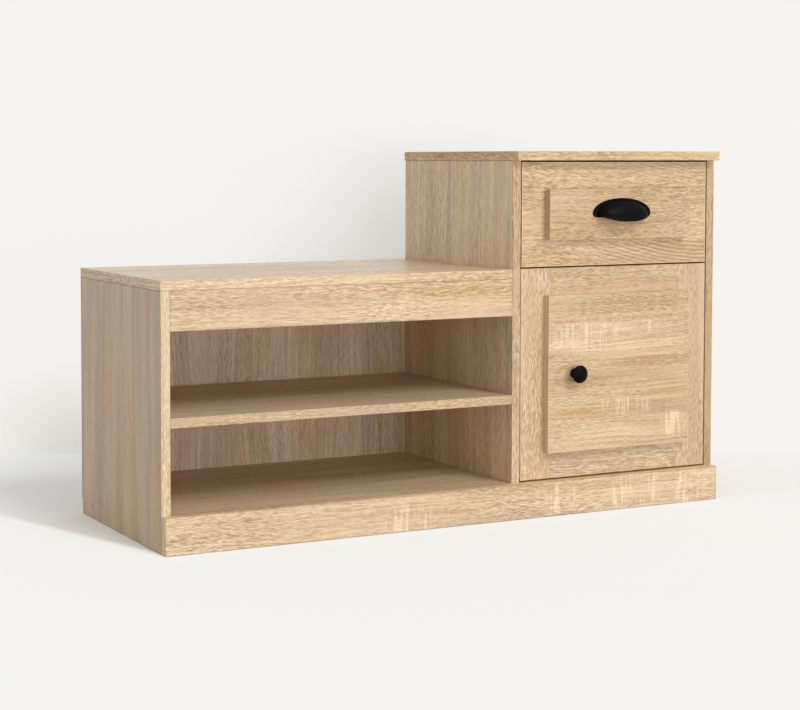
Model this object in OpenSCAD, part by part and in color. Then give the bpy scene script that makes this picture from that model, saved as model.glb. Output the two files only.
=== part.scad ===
// Entryway bench: a low open bench half on the left and a tall cabinet half
// with an inset drawer over an inset door on the right.
// X runs along the front, Y to the back, Z up. The origin is on the floor, in
// the middle of everything from the handles to the rear edges of the tops.

/* [Overall] */
// Width of the whole unit
unit_w = 1020; // [900:10:1300]
// Height of the tall cabinet, floor to upper face of its top
unit_h = 600; // [560:5:760]
// Depth of the upright panels, front edge to back edge
panel_d = 356; // [350:1:450]
// Thickness of every carcass board and of both fronts
board_t = 15; // [15:0.5:18]
// Front overhang of the cabinet top
top_overhang = 15; // [0:1:30]

/* [Bench half] */
// Height of the seat, floor to upper face of the bench top
bench_h = 408; // [380:1:430]
// Height of the rail under the bench top
apron_h = 61; // [40:1:100]
// Height of the upper face of the middle shelf
shelf_z = 203; // [150:1:240]
// Height of the front plinth board
plinth_h = 58; // [50:1:90]

/* [Cabinet half] */
// Width of the cabinet, outside to outside
cabinet_w = 408; // [360:1:520]
// Distance from the front edges of the panels to the board under the drawer
partition_setback = 25; // [24:1:60]
// Gap round the inset drawer front and door
front_gap = 2.5; // [2.3:0.1:4]
// Gap at the door's free edge
door_free_gap = 1.2; // [1:0.1:4]
// Height of the drawer front
drawer_front_h = 171.5; // [150:0.5:220]
// Margin between the edge of a front and its raised panel
raised_margin = 44.5; // [36:0.5:50]
// Thickness of the raised panels
raised_t = 15; // [10:1:20]
// Width of the door's stiles and rails
frame_w = 58; // [52:1:80]

/* [Back] */
// Thickness of the back boards
back_t = 3; // [2.5:0.5:5]
// How far the tops reach past the back boards
back_lip = 1; // [0.9:0.1:4]
// Height of the lower edge of the back boards above the floor
back_z0 = 25; // [10:1:35]

/* [Drawer box] */
// Thickness of the drawer's sides and back
side_t = 12; // [12:0.5:15]
// Height of the drawer's sides
side_h = 115; // [80:1:120]
// Length of the drawer's sides
side_l = 306; // [304:1:320]
// Thickness of the drawer's bottom sheet
sheet_t = 3; // [2.5:0.5:5]
// Height of the drawer's sides above the board under them
box_lift = 12; // [10:0.5:20]
// How far the drawer pulls out
drawer_travel = 230; // [150:5:240]

/* [Roller runners] */
// Length of both runner members
runner_l = 300; // [290:1:302]
// Room between a drawer side and the cabinet wall
runner_gap = 12.5; // [12.5:0.1:14]
// Thickness of the runner steel
steel_t = 1.2; // [1:0.1:1.4]
// Width of the rollers
roller_w = 6; // [5:0.1:6.2]
// Radius of the rollers on the cabinet members
front_roller_r = 7; // [6:0.1:7.2]

/* [Cup hinges] */
// Distance from the door's upper and lower edges to the hinge centres
hinge_inset = 80; // [75:1:120]
// Radius of the hinge cup
cup_r = 17.5; // [17:0.1:18]
// Depth of the hinge cup in the door
cup_depth = 12; // [11.5:0.1:12.4]
// Distance from the door's edge to the middle of the cup
cup_offset = 22; // [21:0.5:25]
// Distance from the door's edge to the hinge pin
pin_offset = 13; // [12:0.1:14]
// Radius of the hinge pin
pin_r = 1.25; // [1:0.05:1.5]
// How far the door opens, in degrees
door_open = 100; // [60:5:105]

/* [Handles] */
// Width of the cup pull over its rim
pull_w = 116; // [96:1:130]
// Height of the cup pull's rim
pull_h = 31.5; // [26:0.5:36]
// How far the cup pull stands out
pull_out = 23; // [18:1:28]
// Distance between the cup pull's screws
pull_screw_gap = 64; // [48:1:76]
// Radius of the knob's head
knob_r = 14.75; // [11:0.25:17]
// How far the knob stands out
knob_out = 23; // [18:1:30]
// Distance from the raised panel's edge to the knob
knob_inset = 51; // [30:1:60]

/* [Fittings] */
// Radius of the carcass dowels
dowel_r = 4; // [3:0.1:4]
// Length of a dowel in the face of a board
dowel_face = 10; // [7:0.5:11]
// Length of a dowel in the end of a board
dowel_end = 19; // [12:1:24]
// Radius of the cam discs
cam_r = 7.5; // [7:0.1:8]
// Distance from a joint to the middle of its cam disc
cam_reach = 24; // [22:1:34]
// Radius of the shelf pins
shelf_pin_r = 2.5; // [2:0.1:3]
// Spacing of the nails in the back boards
nail_pitch = 110; // [80:5:200]

/* [Hidden] */

$fn = 48;

// Colours
oak = "#d9bd97";
oak_edge = "#dcc19a";
oak_shade = "#a9967b";
birch = "#dcc08f";
steel = "#b8bcc0";
dark_metal = "#18191b";
white_plastic = "#e8e8e4";

// Small amounts
cut = 1;              // how far a cut runs past the surface it opens
slip = 0.05;          // radial room of a fitting in its hole
run_gap = 0.3;        // room between a roller and its track

// X of the upright faces
left_x = -unit_w / 2;
right_x = unit_w / 2;
left_in = left_x + board_t;
right_in = right_x - board_t;
div_x = right_x - cabinet_w;
div_in = div_x + board_t;

// Y of the front and back faces
front_reach = max(top_overhang, board_t, raised_t + pull_out, raised_t + knob_out);
total_d = front_reach + panel_d + back_t + back_lip;
front_y = front_reach - total_d / 2;
back_y = front_y + panel_d;
rear_y = total_d / 2;

// Z of the flat boards
bottom_z = plinth_h - board_t;
seat_z = bench_h - board_t;
apron_z = seat_z - apron_h;
roof_z = unit_h - board_t;

// The two inset fronts
front_x0 = div_in + front_gap;
front_x1 = right_in - front_gap;
drawer_z1 = roof_z - front_gap;
drawer_z0 = drawer_z1 - drawer_front_h;
door_z1 = drawer_z0 - front_gap;
door_z0 = plinth_h + front_gap;
door_x0 = div_in + door_free_gap;
fronts_back_y = front_y + board_t;
partition_z = door_z1 - board_t;
partition_y = front_y + partition_setback;

// Drawer box
box_x0 = div_in + runner_gap;
box_x1 = right_in - runner_gap;
box_z0 = door_z1 + box_lift;
box_y1 = fronts_back_y + side_l;
groove_d = 6;                      // depth of the grooves for the bottom sheet
groove_rise = 10;                  // height of the grooves in the sides
groove_z = box_z0 + groove_rise;   // underside of the bottom sheet
front_mid_x = (front_x0 + front_x1) / 2;

// ---------------------------------------------------------------- helpers

// A board between two corners
module board(x0, x1, y0, y1, z0, z1) {
    translate([x0, y0, z0])
        cube([x1 - x0, y1 - y0, z1 - z0]);
}

// Turns +Z of the children to the axis-aligned direction v
module along(v) {
    turn = v.x != 0 ? [0, 90 * v.x, 0]
         : v.y != 0 ? [-90 * v.y, 0, 0]
         : [v.z > 0 ? 0 : 180, 0, 0];
    rotate(turn)
        children();
}

// A rod from p along v
module rod(p, v, r, h) {
    translate(p)
        along(v)
            cylinder(r = r, h = h);
}

// A countersunk or pan-head wood screw: the head's top is at p, v points in
module screw(p, v, r, length, head_r, head_h) {
    rod(p, v, head_r, head_h);
    rod(p, v, r, length);
}

// ------------------------------------------------------- carcass fittings

// A joint is [point on the joint plane, direction into the end-grain board,
// direction that the cam disc faces].
function end_joints(x, z, into, ys, face = [0, 0, -1]) = [for (y = ys) [[x, y, z], into, face]];
function up_joints(x, z, ys, face) = [for (y = ys) [[x, y, z], [0, 0, -1], face]];
function side_joints(x, y, zs, into) = [for (z = zs) [[x, y, z], into, [0, 0, 0]]];

// Joints on the bench side and on the cabinet side of the divider are offset
// from each other along Y, so that their fittings miss each other in the board.
cam_edge = 45;
dowel_edge = 100;
side_shift = 30;
bench_cam_ys = [front_y + cam_edge, back_y - cam_edge];
bench_dowel_ys = [front_y + dowel_edge, back_y - dowel_edge];
cab_cam_ys = [front_y + cam_edge + side_shift, back_y - cam_edge - side_shift];
cab_dowel_ys = [front_y + dowel_edge + side_shift, back_y - dowel_edge - side_shift];

bottom_mid_z = bottom_z + board_t / 2;
seat_mid_z = seat_z + board_t / 2;
partition_mid_z = partition_z + board_t / 2;
left_mid = left_x + board_t / 2;
div_mid = div_x + board_t / 2;
right_mid = right_x - board_t / 2;

// Cam joints, by the board that they hold
bench_bottom_left_cams = end_joints(left_in, bottom_mid_z, [1, 0, 0], bench_cam_ys);
bench_bottom_right_cams = end_joints(div_x, bottom_mid_z, [-1, 0, 0], bench_cam_ys);
seat_left_cams = up_joints(left_mid, seat_z, bench_cam_ys, [1, 0, 0]);
seat_right_cams = end_joints(div_x, seat_mid_z, [-1, 0, 0], bench_cam_ys);
cab_bottom_left_cams = end_joints(div_in, bottom_mid_z, [1, 0, 0], cab_cam_ys);
cab_bottom_right_cams = end_joints(right_in, bottom_mid_z, [-1, 0, 0], cab_cam_ys);
partition_left_cams = end_joints(div_in, partition_mid_z, [1, 0, 0], cab_cam_ys);
partition_right_cams = end_joints(right_in, partition_mid_z, [-1, 0, 0], cab_cam_ys);
roof_left_cams = up_joints(div_mid, roof_z, cab_cam_ys, [1, 0, 0]);
roof_right_cams = up_joints(right_mid, roof_z, cab_cam_ys, [-1, 0, 0]);

// Dowel joints, by the board that they hold
bench_bottom_left_dowels = end_joints(left_in, bottom_mid_z, [1, 0, 0], bench_dowel_ys);
bench_bottom_right_dowels = end_joints(div_x, bottom_mid_z, [-1, 0, 0], bench_dowel_ys);
seat_left_dowels = up_joints(left_mid, seat_z, bench_dowel_ys, [1, 0, 0]);
seat_right_dowels = end_joints(div_x, seat_mid_z, [-1, 0, 0], bench_dowel_ys);
cab_bottom_left_dowels = end_joints(div_in, bottom_mid_z, [1, 0, 0], cab_dowel_ys);
cab_bottom_right_dowels = end_joints(right_in, bottom_mid_z, [-1, 0, 0], cab_dowel_ys);
partition_left_dowels = end_joints(div_in, partition_mid_z, [1, 0, 0], cab_dowel_ys);
partition_right_dowels = end_joints(right_in, partition_mid_z, [-1, 0, 0], cab_dowel_ys);
roof_left_dowels = up_joints(div_mid, roof_z, cab_dowel_ys, [1, 0, 0]);
roof_right_dowels = up_joints(right_mid, roof_z, cab_dowel_ys, [-1, 0, 0]);

rail_dowel_zs = [apron_z + apron_h / 4, seat_z - apron_h / 4];
apron_y = front_y + board_t / 2;
rear_rail_y = back_y - board_t / 2;
apron_left_dowels = side_joints(left_in, apron_y, rail_dowel_zs, [1, 0, 0]);
apron_right_dowels = side_joints(div_x, apron_y, rail_dowel_zs, [-1, 0, 0]);
rear_rail_left_dowels = side_joints(left_in, rear_rail_y, rail_dowel_zs, [1, 0, 0]);
rear_rail_right_dowels = side_joints(div_x, rear_rail_y, rail_dowel_zs, [-1, 0, 0]);

// Two dowels hold the bench's rear plinth, and one between them the cabinet's
low_zs = [bottom_z / 4, bottom_z * 3 / 4];
rear_plinth_left_dowels = side_joints(left_in, rear_rail_y, low_zs, [1, 0, 0]);
rear_plinth_right_dowels = side_joints(div_x, rear_rail_y, low_zs, [-1, 0, 0]);
cab_plinth_left_dowels = side_joints(div_in, rear_rail_y, [bottom_z / 2], [1, 0, 0]);
cab_plinth_right_dowels = side_joints(right_in, rear_rail_y, [bottom_z / 2], [-1, 0, 0]);
plinth_left_dowels = side_joints(left_mid, front_y, low_zs, [0, 1, 0]);
plinth_mid_dowels = side_joints(div_mid, front_y, low_zs, [0, 1, 0]);
plinth_right_dowels = side_joints(right_mid, front_y, low_zs, [0, 1, 0]);

left_panel_dowels = concat(bench_bottom_left_dowels, seat_left_dowels, apron_left_dowels,
    rear_rail_left_dowels, rear_plinth_left_dowels, plinth_left_dowels);
divider_dowels = concat(bench_bottom_right_dowels, seat_right_dowels, apron_right_dowels,
    rear_rail_right_dowels, rear_plinth_right_dowels, plinth_mid_dowels,
    cab_bottom_left_dowels, partition_left_dowels, roof_left_dowels, cab_plinth_left_dowels);
right_panel_dowels = concat(cab_bottom_right_dowels, partition_right_dowels, roof_right_dowels,
    cab_plinth_right_dowels, plinth_right_dowels);

left_panel_cams = concat(bench_bottom_left_cams, seat_left_cams);
divider_cams = concat(bench_bottom_right_cams, seat_right_cams, cab_bottom_left_cams,
    partition_left_cams, roof_left_cams);
right_panel_cams = concat(cab_bottom_right_cams, partition_right_cams, roof_right_cams);

module dowel_holes(joints, r = dowel_r, face = dowel_face, end = dowel_end) {
    end_room = 0.5;
    for (j = joints)
        rod(j[0] - j[1] * (face + end_room), j[1], r + slip, face + end + 2 * end_room);
}

module dowel_set(joints, r = dowel_r, face = dowel_face, end = dowel_end) {
    for (j = joints)
        rod(j[0] - j[1] * face, j[1], r, face + end);
}

// Cam fitting: a bolt screwed into the face of one board, drawn by a disc in
// the other
cam_h = 12;             // thickness of a cam disc
cam_wall = board_t / 2; // from the middle of a board to the face with the discs
bolt_thread_r = 2.5;
bolt_thread_l = 11;
bolt_shank_r = 2.4;
bolt_head_r = 3.2;
bolt_bore_r = 4;

module cam_holes(joints) {
    for (j = joints) {
        rod(j[0] - j[1] * (bolt_thread_l + 0.3), j[1], bolt_thread_r + slip, bolt_thread_l + cut);
        rod(j[0] - j[1] * slip, j[1], bolt_bore_r, cam_reach);
        rod(j[0] + j[1] * cam_reach + j[2] * (cam_wall - cam_h - 0.3), j[2],
            cam_r + slip, cam_h + cut);
    }
}

module cam_bolt(j) {
    rod(j[0] - j[1] * bolt_thread_l, j[1], bolt_thread_r, bolt_thread_l);
    rod(j[0], j[1], bolt_shank_r, cam_reach - 1);
    rod(j[0], j[1], bolt_bore_r - 2 * slip, 2);
    rod(j[0] + j[1] * (cam_reach - 3), j[1], bolt_head_r, 4);
}

// The disc has a slot for the bolt's head and a cross recess for the driver
module cam_disc(j) {
    slot_r = bolt_head_r + 0.3;
    middle = j[0] + j[1] * cam_reach;
    difference() {
        rod(middle + j[2] * (cam_wall - cam_h), j[2], cam_r, cam_h);
        rod(middle - j[1] * (cam_r + cut), j[1], slot_r, cam_r + cut + 2);
        translate(middle + j[2] * (cam_wall - 1.2))
            along(j[2]) {
                translate([-4, -0.8, 0])
                    cube([8, 1.6, 1.2 + cut]);
                translate([-0.8, -4, 0])
                    cube([1.6, 8, 1.2 + cut]);
            }
    }
}

// Shelf pins: a round peg in the panel and a flat spade under the shelf
pin_ys = [front_y + 37, back_y - 37];
pin_peg = 9;            // length of the peg in the panel
spade_w = 9;
spade_t = 2.4;
spade_l = 10;
pin_z = shelf_z - board_t - shelf_pin_r - 0.2;

// Pin joints are [point on the panel face at the peg, direction out of the panel]
shelf_pins_left = [for (y = pin_ys) [[left_in, y, pin_z], [1, 0, 0]]];
shelf_pins_right = [for (y = pin_ys) [[div_x, y, pin_z], [-1, 0, 0]]];

module shelf_pin(j) {
    rod(j[0] - j[1] * pin_peg, j[1], shelf_pin_r, pin_peg + 1);
    x0 = j[1].x > 0 ? j[0].x : j[0].x - spade_l;
    translate([x0, j[0].y - spade_w / 2, shelf_z - board_t - spade_t])
        cube([spade_l, spade_w, spade_t]);
}

module shelf_pin_holes(joints) {
    for (j = joints)
        rod(j[0] - j[1] * (pin_peg + 0.5), j[1], shelf_pin_r + slip, pin_peg + 0.5 + cut);
}

// Nails through the back boards into the edges of the boards in front of them
nail_r = 0.8;
nail_l = 20;
nail_head_r = 2.4;
nail_head_h = 0.8;
nail_y = back_y + back_t + nail_head_h;
nail_edge = 12;

// Even spacing over a length, both ends included
function spaced(a, b) = let (n = max(1, round((b - a) / nail_pitch)))
    [for (i = [0 : n]) a + (b - a) * i / n];
function nail_column(x, z0, z1) = [for (z = spaced(z0 + nail_edge, z1 - nail_edge)) [x, z]];
function nail_row(z, x0, x1) = [for (x = spaced(x0 + nail_edge, x1 - nail_edge)) [x, z]];

// Each back board keeps to its own half of the divider's edge
bench_seam_x = div_x + board_t / 4;
cab_seam_x = div_x + board_t * 3 / 4;
left_nails = nail_column(left_mid, back_z0 + 60, apron_z);
bench_seam_nails = nail_column(bench_seam_x, back_z0 + 60, apron_z);
cab_seam_nails = nail_column(cab_seam_x, back_z0 + 60, roof_z);
right_nails = nail_column(right_mid, back_z0 + 60, roof_z);
bench_bottom_nails = nail_row(bottom_mid_z, left_in, div_x);
rear_rail_nails = nail_row(apron_z + apron_h / 2, left_in, div_x);
shelf_nails = nail_row(shelf_z - board_t / 2, left_in + 40, div_x - 40);
cab_bottom_nails = nail_row(bottom_mid_z, div_in, right_in);
partition_nails = nail_row(partition_mid_z, div_in, right_in);

module nail_holes(places) {
    for (p = places)
        rod([p[0], nail_y, p[1]], [0, -1, 0], nail_r + slip, nail_l + 0.5);
}

module nail_set(places) {
    for (p = places)
        screw([p[0], nail_y, p[1]], [0, -1, 0], nail_r, nail_l, nail_head_r, nail_head_h);
}

// --------------------------------------------------------- carcass boards

module left_side_panel() {
    color(oak_shade)
        difference() {
            board(left_x, left_in, front_y, back_y, 0, seat_z);
            dowel_holes(left_panel_dowels);
            cam_holes(left_panel_cams);
            shelf_pin_holes(shelf_pins_left);
            nail_holes(left_nails);
        }
}

module divider_panel() {
    color(oak_shade)
        difference() {
            board(div_x, div_in, front_y, back_y, 0, roof_z);
            dowel_holes(divider_dowels);
            cam_holes(divider_cams);
            shelf_pin_holes(shelf_pins_right);
            nail_holes(concat(bench_seam_nails, cab_seam_nails));
            rail_screw_holes(left_wall);
        }
}

module right_side_panel() {
    color(oak_shade)
        difference() {
            board(right_in, right_x, front_y, back_y, 0, roof_z);
            dowel_holes(right_panel_dowels);
            cam_holes(right_panel_cams);
            nail_holes(right_nails);
            rail_screw_holes(right_wall);
            hinge_plate_screw_holes();
        }
}

module bench_top() {
    color(oak)
        difference() {
            board(left_x, div_x, front_y, rear_y, seat_z, bench_h);
            dowel_holes(concat(seat_left_dowels, seat_right_dowels));
            cam_holes(concat(seat_left_cams, seat_right_cams));
        }
}

module bench_apron() {
    color(oak)
        difference() {
            board(left_in, div_x, front_y, fronts_back_y, apron_z, seat_z);
            dowel_holes(concat(apron_left_dowels, apron_right_dowels));
        }
}

module bench_rear_rail() {
    color(oak_shade)
        difference() {
            board(left_in, div_x, back_y - board_t, back_y, apron_z, seat_z);
            dowel_holes(concat(rear_rail_left_dowels, rear_rail_right_dowels));
            nail_holes(rear_rail_nails);
        }
}

module middle_shelf() {
    color(oak)
        difference() {
            board(left_in, div_x, front_y, back_y, shelf_z - board_t, shelf_z);
            nail_holes(shelf_nails);
        }
}

module bench_bottom_panel() {
    color(oak)
        difference() {
            board(left_in, div_x, front_y, back_y, bottom_z, plinth_h);
            dowel_holes(concat(bench_bottom_left_dowels, bench_bottom_right_dowels));
            cam_holes(concat(bench_bottom_left_cams, bench_bottom_right_cams));
            nail_holes(bench_bottom_nails);
        }
}

module cabinet_top() {
    color(oak_edge)
        difference() {
            board(div_x, right_x, front_y - top_overhang, rear_y, roof_z, unit_h);
            dowel_holes(concat(roof_left_dowels, roof_right_dowels));
            cam_holes(concat(roof_left_cams, roof_right_cams));
        }
}

module cabinet_partition() {
    color(oak)
        difference() {
            board(div_in, right_in, partition_y, back_y, partition_z, door_z1);
            dowel_holes(concat(partition_left_dowels, partition_right_dowels));
            cam_holes(concat(partition_left_cams, partition_right_cams));
            nail_holes(partition_nails);
            catch_screw_holes();
        }
}

module cabinet_bottom_panel() {
    color(oak)
        difference() {
            board(div_in, right_in, front_y, back_y, bottom_z, plinth_h);
            dowel_holes(concat(cab_bottom_left_dowels, cab_bottom_right_dowels));
            cam_holes(concat(cab_bottom_left_cams, cab_bottom_right_cams));
            nail_holes(cab_bottom_nails);
        }
}

module plinth_board() {
    color(oak_edge)
        difference() {
            board(left_x, right_x, front_y - board_t, front_y, 0, plinth_h);
            dowel_holes(concat(plinth_left_dowels, plinth_mid_dowels, plinth_right_dowels));
        }
}

module bench_rear_plinth() {
    color(oak_shade)
        difference() {
            board(left_in, div_x, back_y - board_t, back_y, 0, bottom_z);
            dowel_holes(concat(rear_plinth_left_dowels, rear_plinth_right_dowels));
        }
}

module cabinet_rear_plinth() {
    color(oak_shade)
        difference() {
            board(div_in, right_in, back_y - board_t, back_y, 0, bottom_z);
            dowel_holes(concat(cab_plinth_left_dowels, cab_plinth_right_dowels));
        }
}

module bench_back_panel() {
    color(oak_shade)
        difference() {
            board(left_x, div_mid, back_y, back_y + back_t, back_z0, seat_z);
            nail_holes(concat(left_nails, bench_seam_nails, bench_bottom_nails,
                rear_rail_nails, shelf_nails));
        }
}

module cabinet_back_panel() {
    color(oak_shade)
        difference() {
            board(div_mid, right_x, back_y, back_y + back_t, back_z0, roof_z);
            nail_holes(concat(cab_seam_nails, right_nails, cab_bottom_nails, partition_nails));
        }
}

module dowels() {
    color(birch) {
        dowel_set(left_panel_dowels);
        dowel_set(divider_dowels);
        dowel_set(right_panel_dowels);
    }
}

module cam_bolts() {
    color(steel)
        for (j = concat(left_panel_cams, divider_cams, right_panel_cams))
            cam_bolt(j);
}

module cam_discs() {
    color(steel)
        for (j = concat(left_panel_cams, divider_cams, right_panel_cams))
            cam_disc(j);
}

module shelf_pins() {
    color(steel)
        for (j = concat(shelf_pins_left, shelf_pins_right))
            shelf_pin(j);
}

module back_nails() {
    color(steel)
        nail_set(concat(left_nails, bench_seam_nails, cab_seam_nails, right_nails,
            bench_bottom_nails, rear_rail_nails, shelf_nails, cab_bottom_nails,
            partition_nails));
}

// --------------------------------------------------------- roller runners

// Each runner is drawn for the left wall: X is the distance from the wall, Y
// runs back from the runner's front end, and Z = 0 is the lower edge of the
// drawer side. The right one is its mirror image.
runner_y = fronts_back_y + 2;      // front end of both members
track_z = -2.8;                    // upper face of the cabinet member's lower flange
ceiling_z = 16;                    // underside of its upper flange
hook_z = 13;                       // underside of the drawer member's hook
lower_reach = 10;                  // how far the lower flange stands out
upper_reach = 8.5;                 // how far the upper flange stands out
hook_x = 3;                        // free edge of the hook
rear_roller_r = (ceiling_z - track_z) / 2 - run_gap;
rear_roller_z = (ceiling_z + track_z) / 2;
rear_roller_y = runner_l - rear_roller_r - 4;
front_roller_y = front_roller_r + 4;
front_roller_z = hook_z - run_gap - front_roller_r;
roller_x = steel_t + 1.3;          // wall side of every roller
rivet_r = 2;
rivet_head_r = 3.4;
rivet_head_h = 0.5;
rail_screw_ys = [runner_l * 0.13, runner_l / 2, runner_l * 0.83];
rail_screw_z = hook_z;
left_wall = false;
right_wall = true;

module on_wall(is_right) {
    translate([is_right ? right_in : div_in, runner_y, box_z0])
        mirror([is_right ? 1 : 0, 0, 0])
            children();
}

// Cabinet member: a channel that opens towards the drawer, with the axle of
// the front roller riveted into its web
module cabinet_member() {
    low = track_z - steel_t;
    high = ceiling_z + steel_t;
    difference() {
        union() {
            translate([0, 0, low])
                cube([steel_t, runner_l, high - low]);
            translate([0, 0, low])
                cube([lower_reach, runner_l, steel_t]);
            translate([0, 0, ceiling_z])
                cube([upper_reach, runner_l, steel_t]);
            rod([0, front_roller_y, front_roller_z], [1, 0, 0], rivet_r,
                roller_x + roller_w + 0.4);
            rod([roller_x + roller_w + 0.2, front_roller_y, front_roller_z], [1, 0, 0],
                rivet_head_r, rivet_head_h);
        }
        for (y = rail_screw_ys)
            rod([-cut, y, rail_screw_z], [1, 0, 0], hardware_screw_r + slip, steel_t + 2 * cut);
    }
}

// Drawer member: a flange under the drawer side, a web beside it and a hook
// that runs on the front roller. The rear roller's axle is riveted to the web.
module drawer_member() {
    web_x = runner_gap - steel_t;
    hook_l = rear_roller_y - rear_roller_r - 3;
    difference() {
        union() {
            translate([web_x, 0, -steel_t])
                cube([steel_t, runner_l, hook_z + 2 * steel_t]);
            translate([web_x, 0, -steel_t])
                cube([steel_t + side_t, runner_l, steel_t]);
            translate([hook_x, 0, hook_z])
                cube([web_x - hook_x + steel_t, hook_l, steel_t]);
            rod([web_x + steel_t / 2, rear_roller_y, rear_roller_z], [-1, 0, 0], rivet_r,
                web_x + steel_t / 2 - roller_x + 0.4);
            rod([roller_x - 0.2, rear_roller_y, rear_roller_z], [-1, 0, 0],
                rivet_head_r, rivet_head_h);
        }
        for (y = drawer_rail_screw_ys)
            rod([runner_gap + side_t / 2, y, -steel_t - cut], [0, 0, 1],
                drawer_rail_screw_r + slip, steel_t + 2 * cut);
    }
}

module roller(y, z, r) {
    difference() {
        rod([roller_x, y, z], [1, 0, 0], r, roller_w);
        rod([roller_x - cut, y, z], [1, 0, 0], rivet_r + slip, roller_w + 2 * cut);
    }
}

module cabinet_rail_left() {
    color(white_plastic)
        on_wall(left_wall)
            cabinet_member();
}

module cabinet_rail_right() {
    color(white_plastic)
        on_wall(right_wall)
            cabinet_member();
}

module cabinet_roller_left() {
    color(white_plastic)
        on_wall(left_wall)
            roller(front_roller_y, front_roller_z, front_roller_r);
}

module cabinet_roller_right() {
    color(white_plastic)
        on_wall(right_wall)
            roller(front_roller_y, front_roller_z, front_roller_r);
}

module drawer_rail_left() {
    color(white_plastic)
        on_wall(left_wall)
            drawer_member();
}

module drawer_rail_right() {
    color(white_plastic)
        on_wall(right_wall)
            drawer_member();
}

module drawer_roller_left() {
    color(white_plastic)
        on_wall(left_wall)
            roller(rear_roller_y, rear_roller_z, rear_roller_r);
}

module drawer_roller_right() {
    color(white_plastic)
        on_wall(right_wall)
            roller(rear_roller_y, rear_roller_z, rear_roller_r);
}

// Screws of the carcass hardware: runners, hinge plates and the catch
hardware_screw_r = 1.6;
hardware_screw_l = 12;
hardware_head_r = 2.8;
hardware_head_h = 0.9;

module rail_screw_holes(wall) {
    on_wall(wall)
        for (y = rail_screw_ys)
            rod([steel_t, y, rail_screw_z], [-1, 0, 0], hardware_screw_r + slip,
                hardware_screw_l + 0.5);
}

module hardware_screw(p, v) {
    screw(p - v * hardware_head_h, v, hardware_screw_r, hardware_screw_l + hardware_head_h,
        hardware_head_r, hardware_head_h);
}

// Screws up through the drawer members into the drawer sides
drawer_rail_screw_r = 1.5;
drawer_rail_head_h = 1;
drawer_rail_screw_l = drawer_rail_head_h + steel_t + groove_rise - 1.5;
drawer_rail_screw_ys = [runner_l * 0.1, runner_l / 2, runner_l * 0.9];

module drawer_rail_screws() {
    color(steel)
        for (wall = [left_wall, right_wall])
            on_wall(wall)
                for (y = drawer_rail_screw_ys)
                    screw([runner_gap + side_t / 2, y, -steel_t - drawer_rail_head_h],
                        [0, 0, 1], drawer_rail_screw_r, drawer_rail_screw_l, 2.6,
                        drawer_rail_head_h);
}

module drawer_rail_screw_holes(wall) {
    on_wall(wall)
        for (y = drawer_rail_screw_ys)
            rod([runner_gap + side_t / 2, y, -steel_t - drawer_rail_head_h], [0, 0, 1],
                drawer_rail_screw_r + slip, drawer_rail_screw_l + 0.5);
}

// ------------------------------------------------------------- the drawer

// Sides and back stand between the front and the grooves of the bottom sheet
drawer_joint_zs = [box_z0 + side_h / 4, box_z0 + side_h * 3 / 4];
drawer_dowel_r = 3;
drawer_dowel_face = 9;
drawer_dowel_end = 18;
back_dowel_y = box_y1 - side_t / 2;
drawer_side_joints = concat(
    side_joints(box_x0 + side_t / 2, fronts_back_y, drawer_joint_zs, [0, 1, 0]),
    side_joints(box_x1 - side_t / 2, fronts_back_y, drawer_joint_zs, [0, 1, 0]));
drawer_back_joints = concat(
    side_joints(box_x0 + side_t, back_dowel_y, drawer_joint_zs, [1, 0, 0]),
    side_joints(box_x1 - side_t, back_dowel_y, drawer_joint_zs, [-1, 0, 0]));

// Screws that hold the raised panels, driven from behind
panel_screw_r = 1.8;
panel_screw_head_r = 3.4;
panel_screw_head_h = 2;
panel_screw_l = board_t + raised_t - 4;

// The raised panel of the drawer front
drawer_panel_x0 = front_x0 + raised_margin;
drawer_panel_x1 = front_x1 - raised_margin;
drawer_panel_z0 = drawer_z0 + raised_margin;
drawer_panel_z1 = drawer_z1 - raised_margin;
drawer_screw_dx = 0.4 * (drawer_panel_x1 - drawer_panel_x0);
drawer_screw_dz = 0.29 * (drawer_panel_z1 - drawer_panel_z0);
drawer_panel_mid_z = (drawer_panel_z0 + drawer_panel_z1) / 2;
drawer_panel_screws_at = [
    for (x = [front_mid_x - drawer_screw_dx, front_mid_x + drawer_screw_dx])
        for (z = [drawer_panel_mid_z - drawer_screw_dz, drawer_panel_mid_z + drawer_screw_dz])
            [x, z]
];

module panel_screw_holes(places) {
    for (p = places) {
        rod([p[0], fronts_back_y + slip, p[1]], [0, -1, 0], panel_screw_r + slip,
            panel_screw_l + 0.5);
        rod([p[0], fronts_back_y + cut, p[1]], [0, -1, 0], panel_screw_head_r + slip,
            panel_screw_head_h + cut);
    }
}

module panel_screw_set(places) {
    for (p = places)
        screw([p[0], fronts_back_y, p[1]], [0, -1, 0], panel_screw_r, panel_screw_l,
            panel_screw_head_r, panel_screw_head_h);
}

// The slot that takes the bottom sheet, cut in the front, sides and back
module bottom_groove() {
    board(box_x0 + side_t - groove_d, box_x1 - side_t + groove_d,
        fronts_back_y - groove_d, box_y1 + cut, groove_z - slip, groove_z + sheet_t + slip);
}

module drawer_front() {
    color(oak)
        difference() {
            board(front_x0, front_x1, front_y, fronts_back_y, drawer_z0, drawer_z1);
            bottom_groove();
            dowel_holes(drawer_side_joints, drawer_dowel_r, drawer_dowel_face, drawer_dowel_end);
            panel_screw_holes(drawer_panel_screws_at);
            pull_screw_holes();
        }
}

module drawer_raised_panel() {
    color(oak_edge)
        difference() {
            board(drawer_panel_x0, drawer_panel_x1, front_y - raised_t, front_y,
                drawer_panel_z0, drawer_panel_z1);
            panel_screw_holes(drawer_panel_screws_at);
            pull_screw_holes();
        }
}

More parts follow.
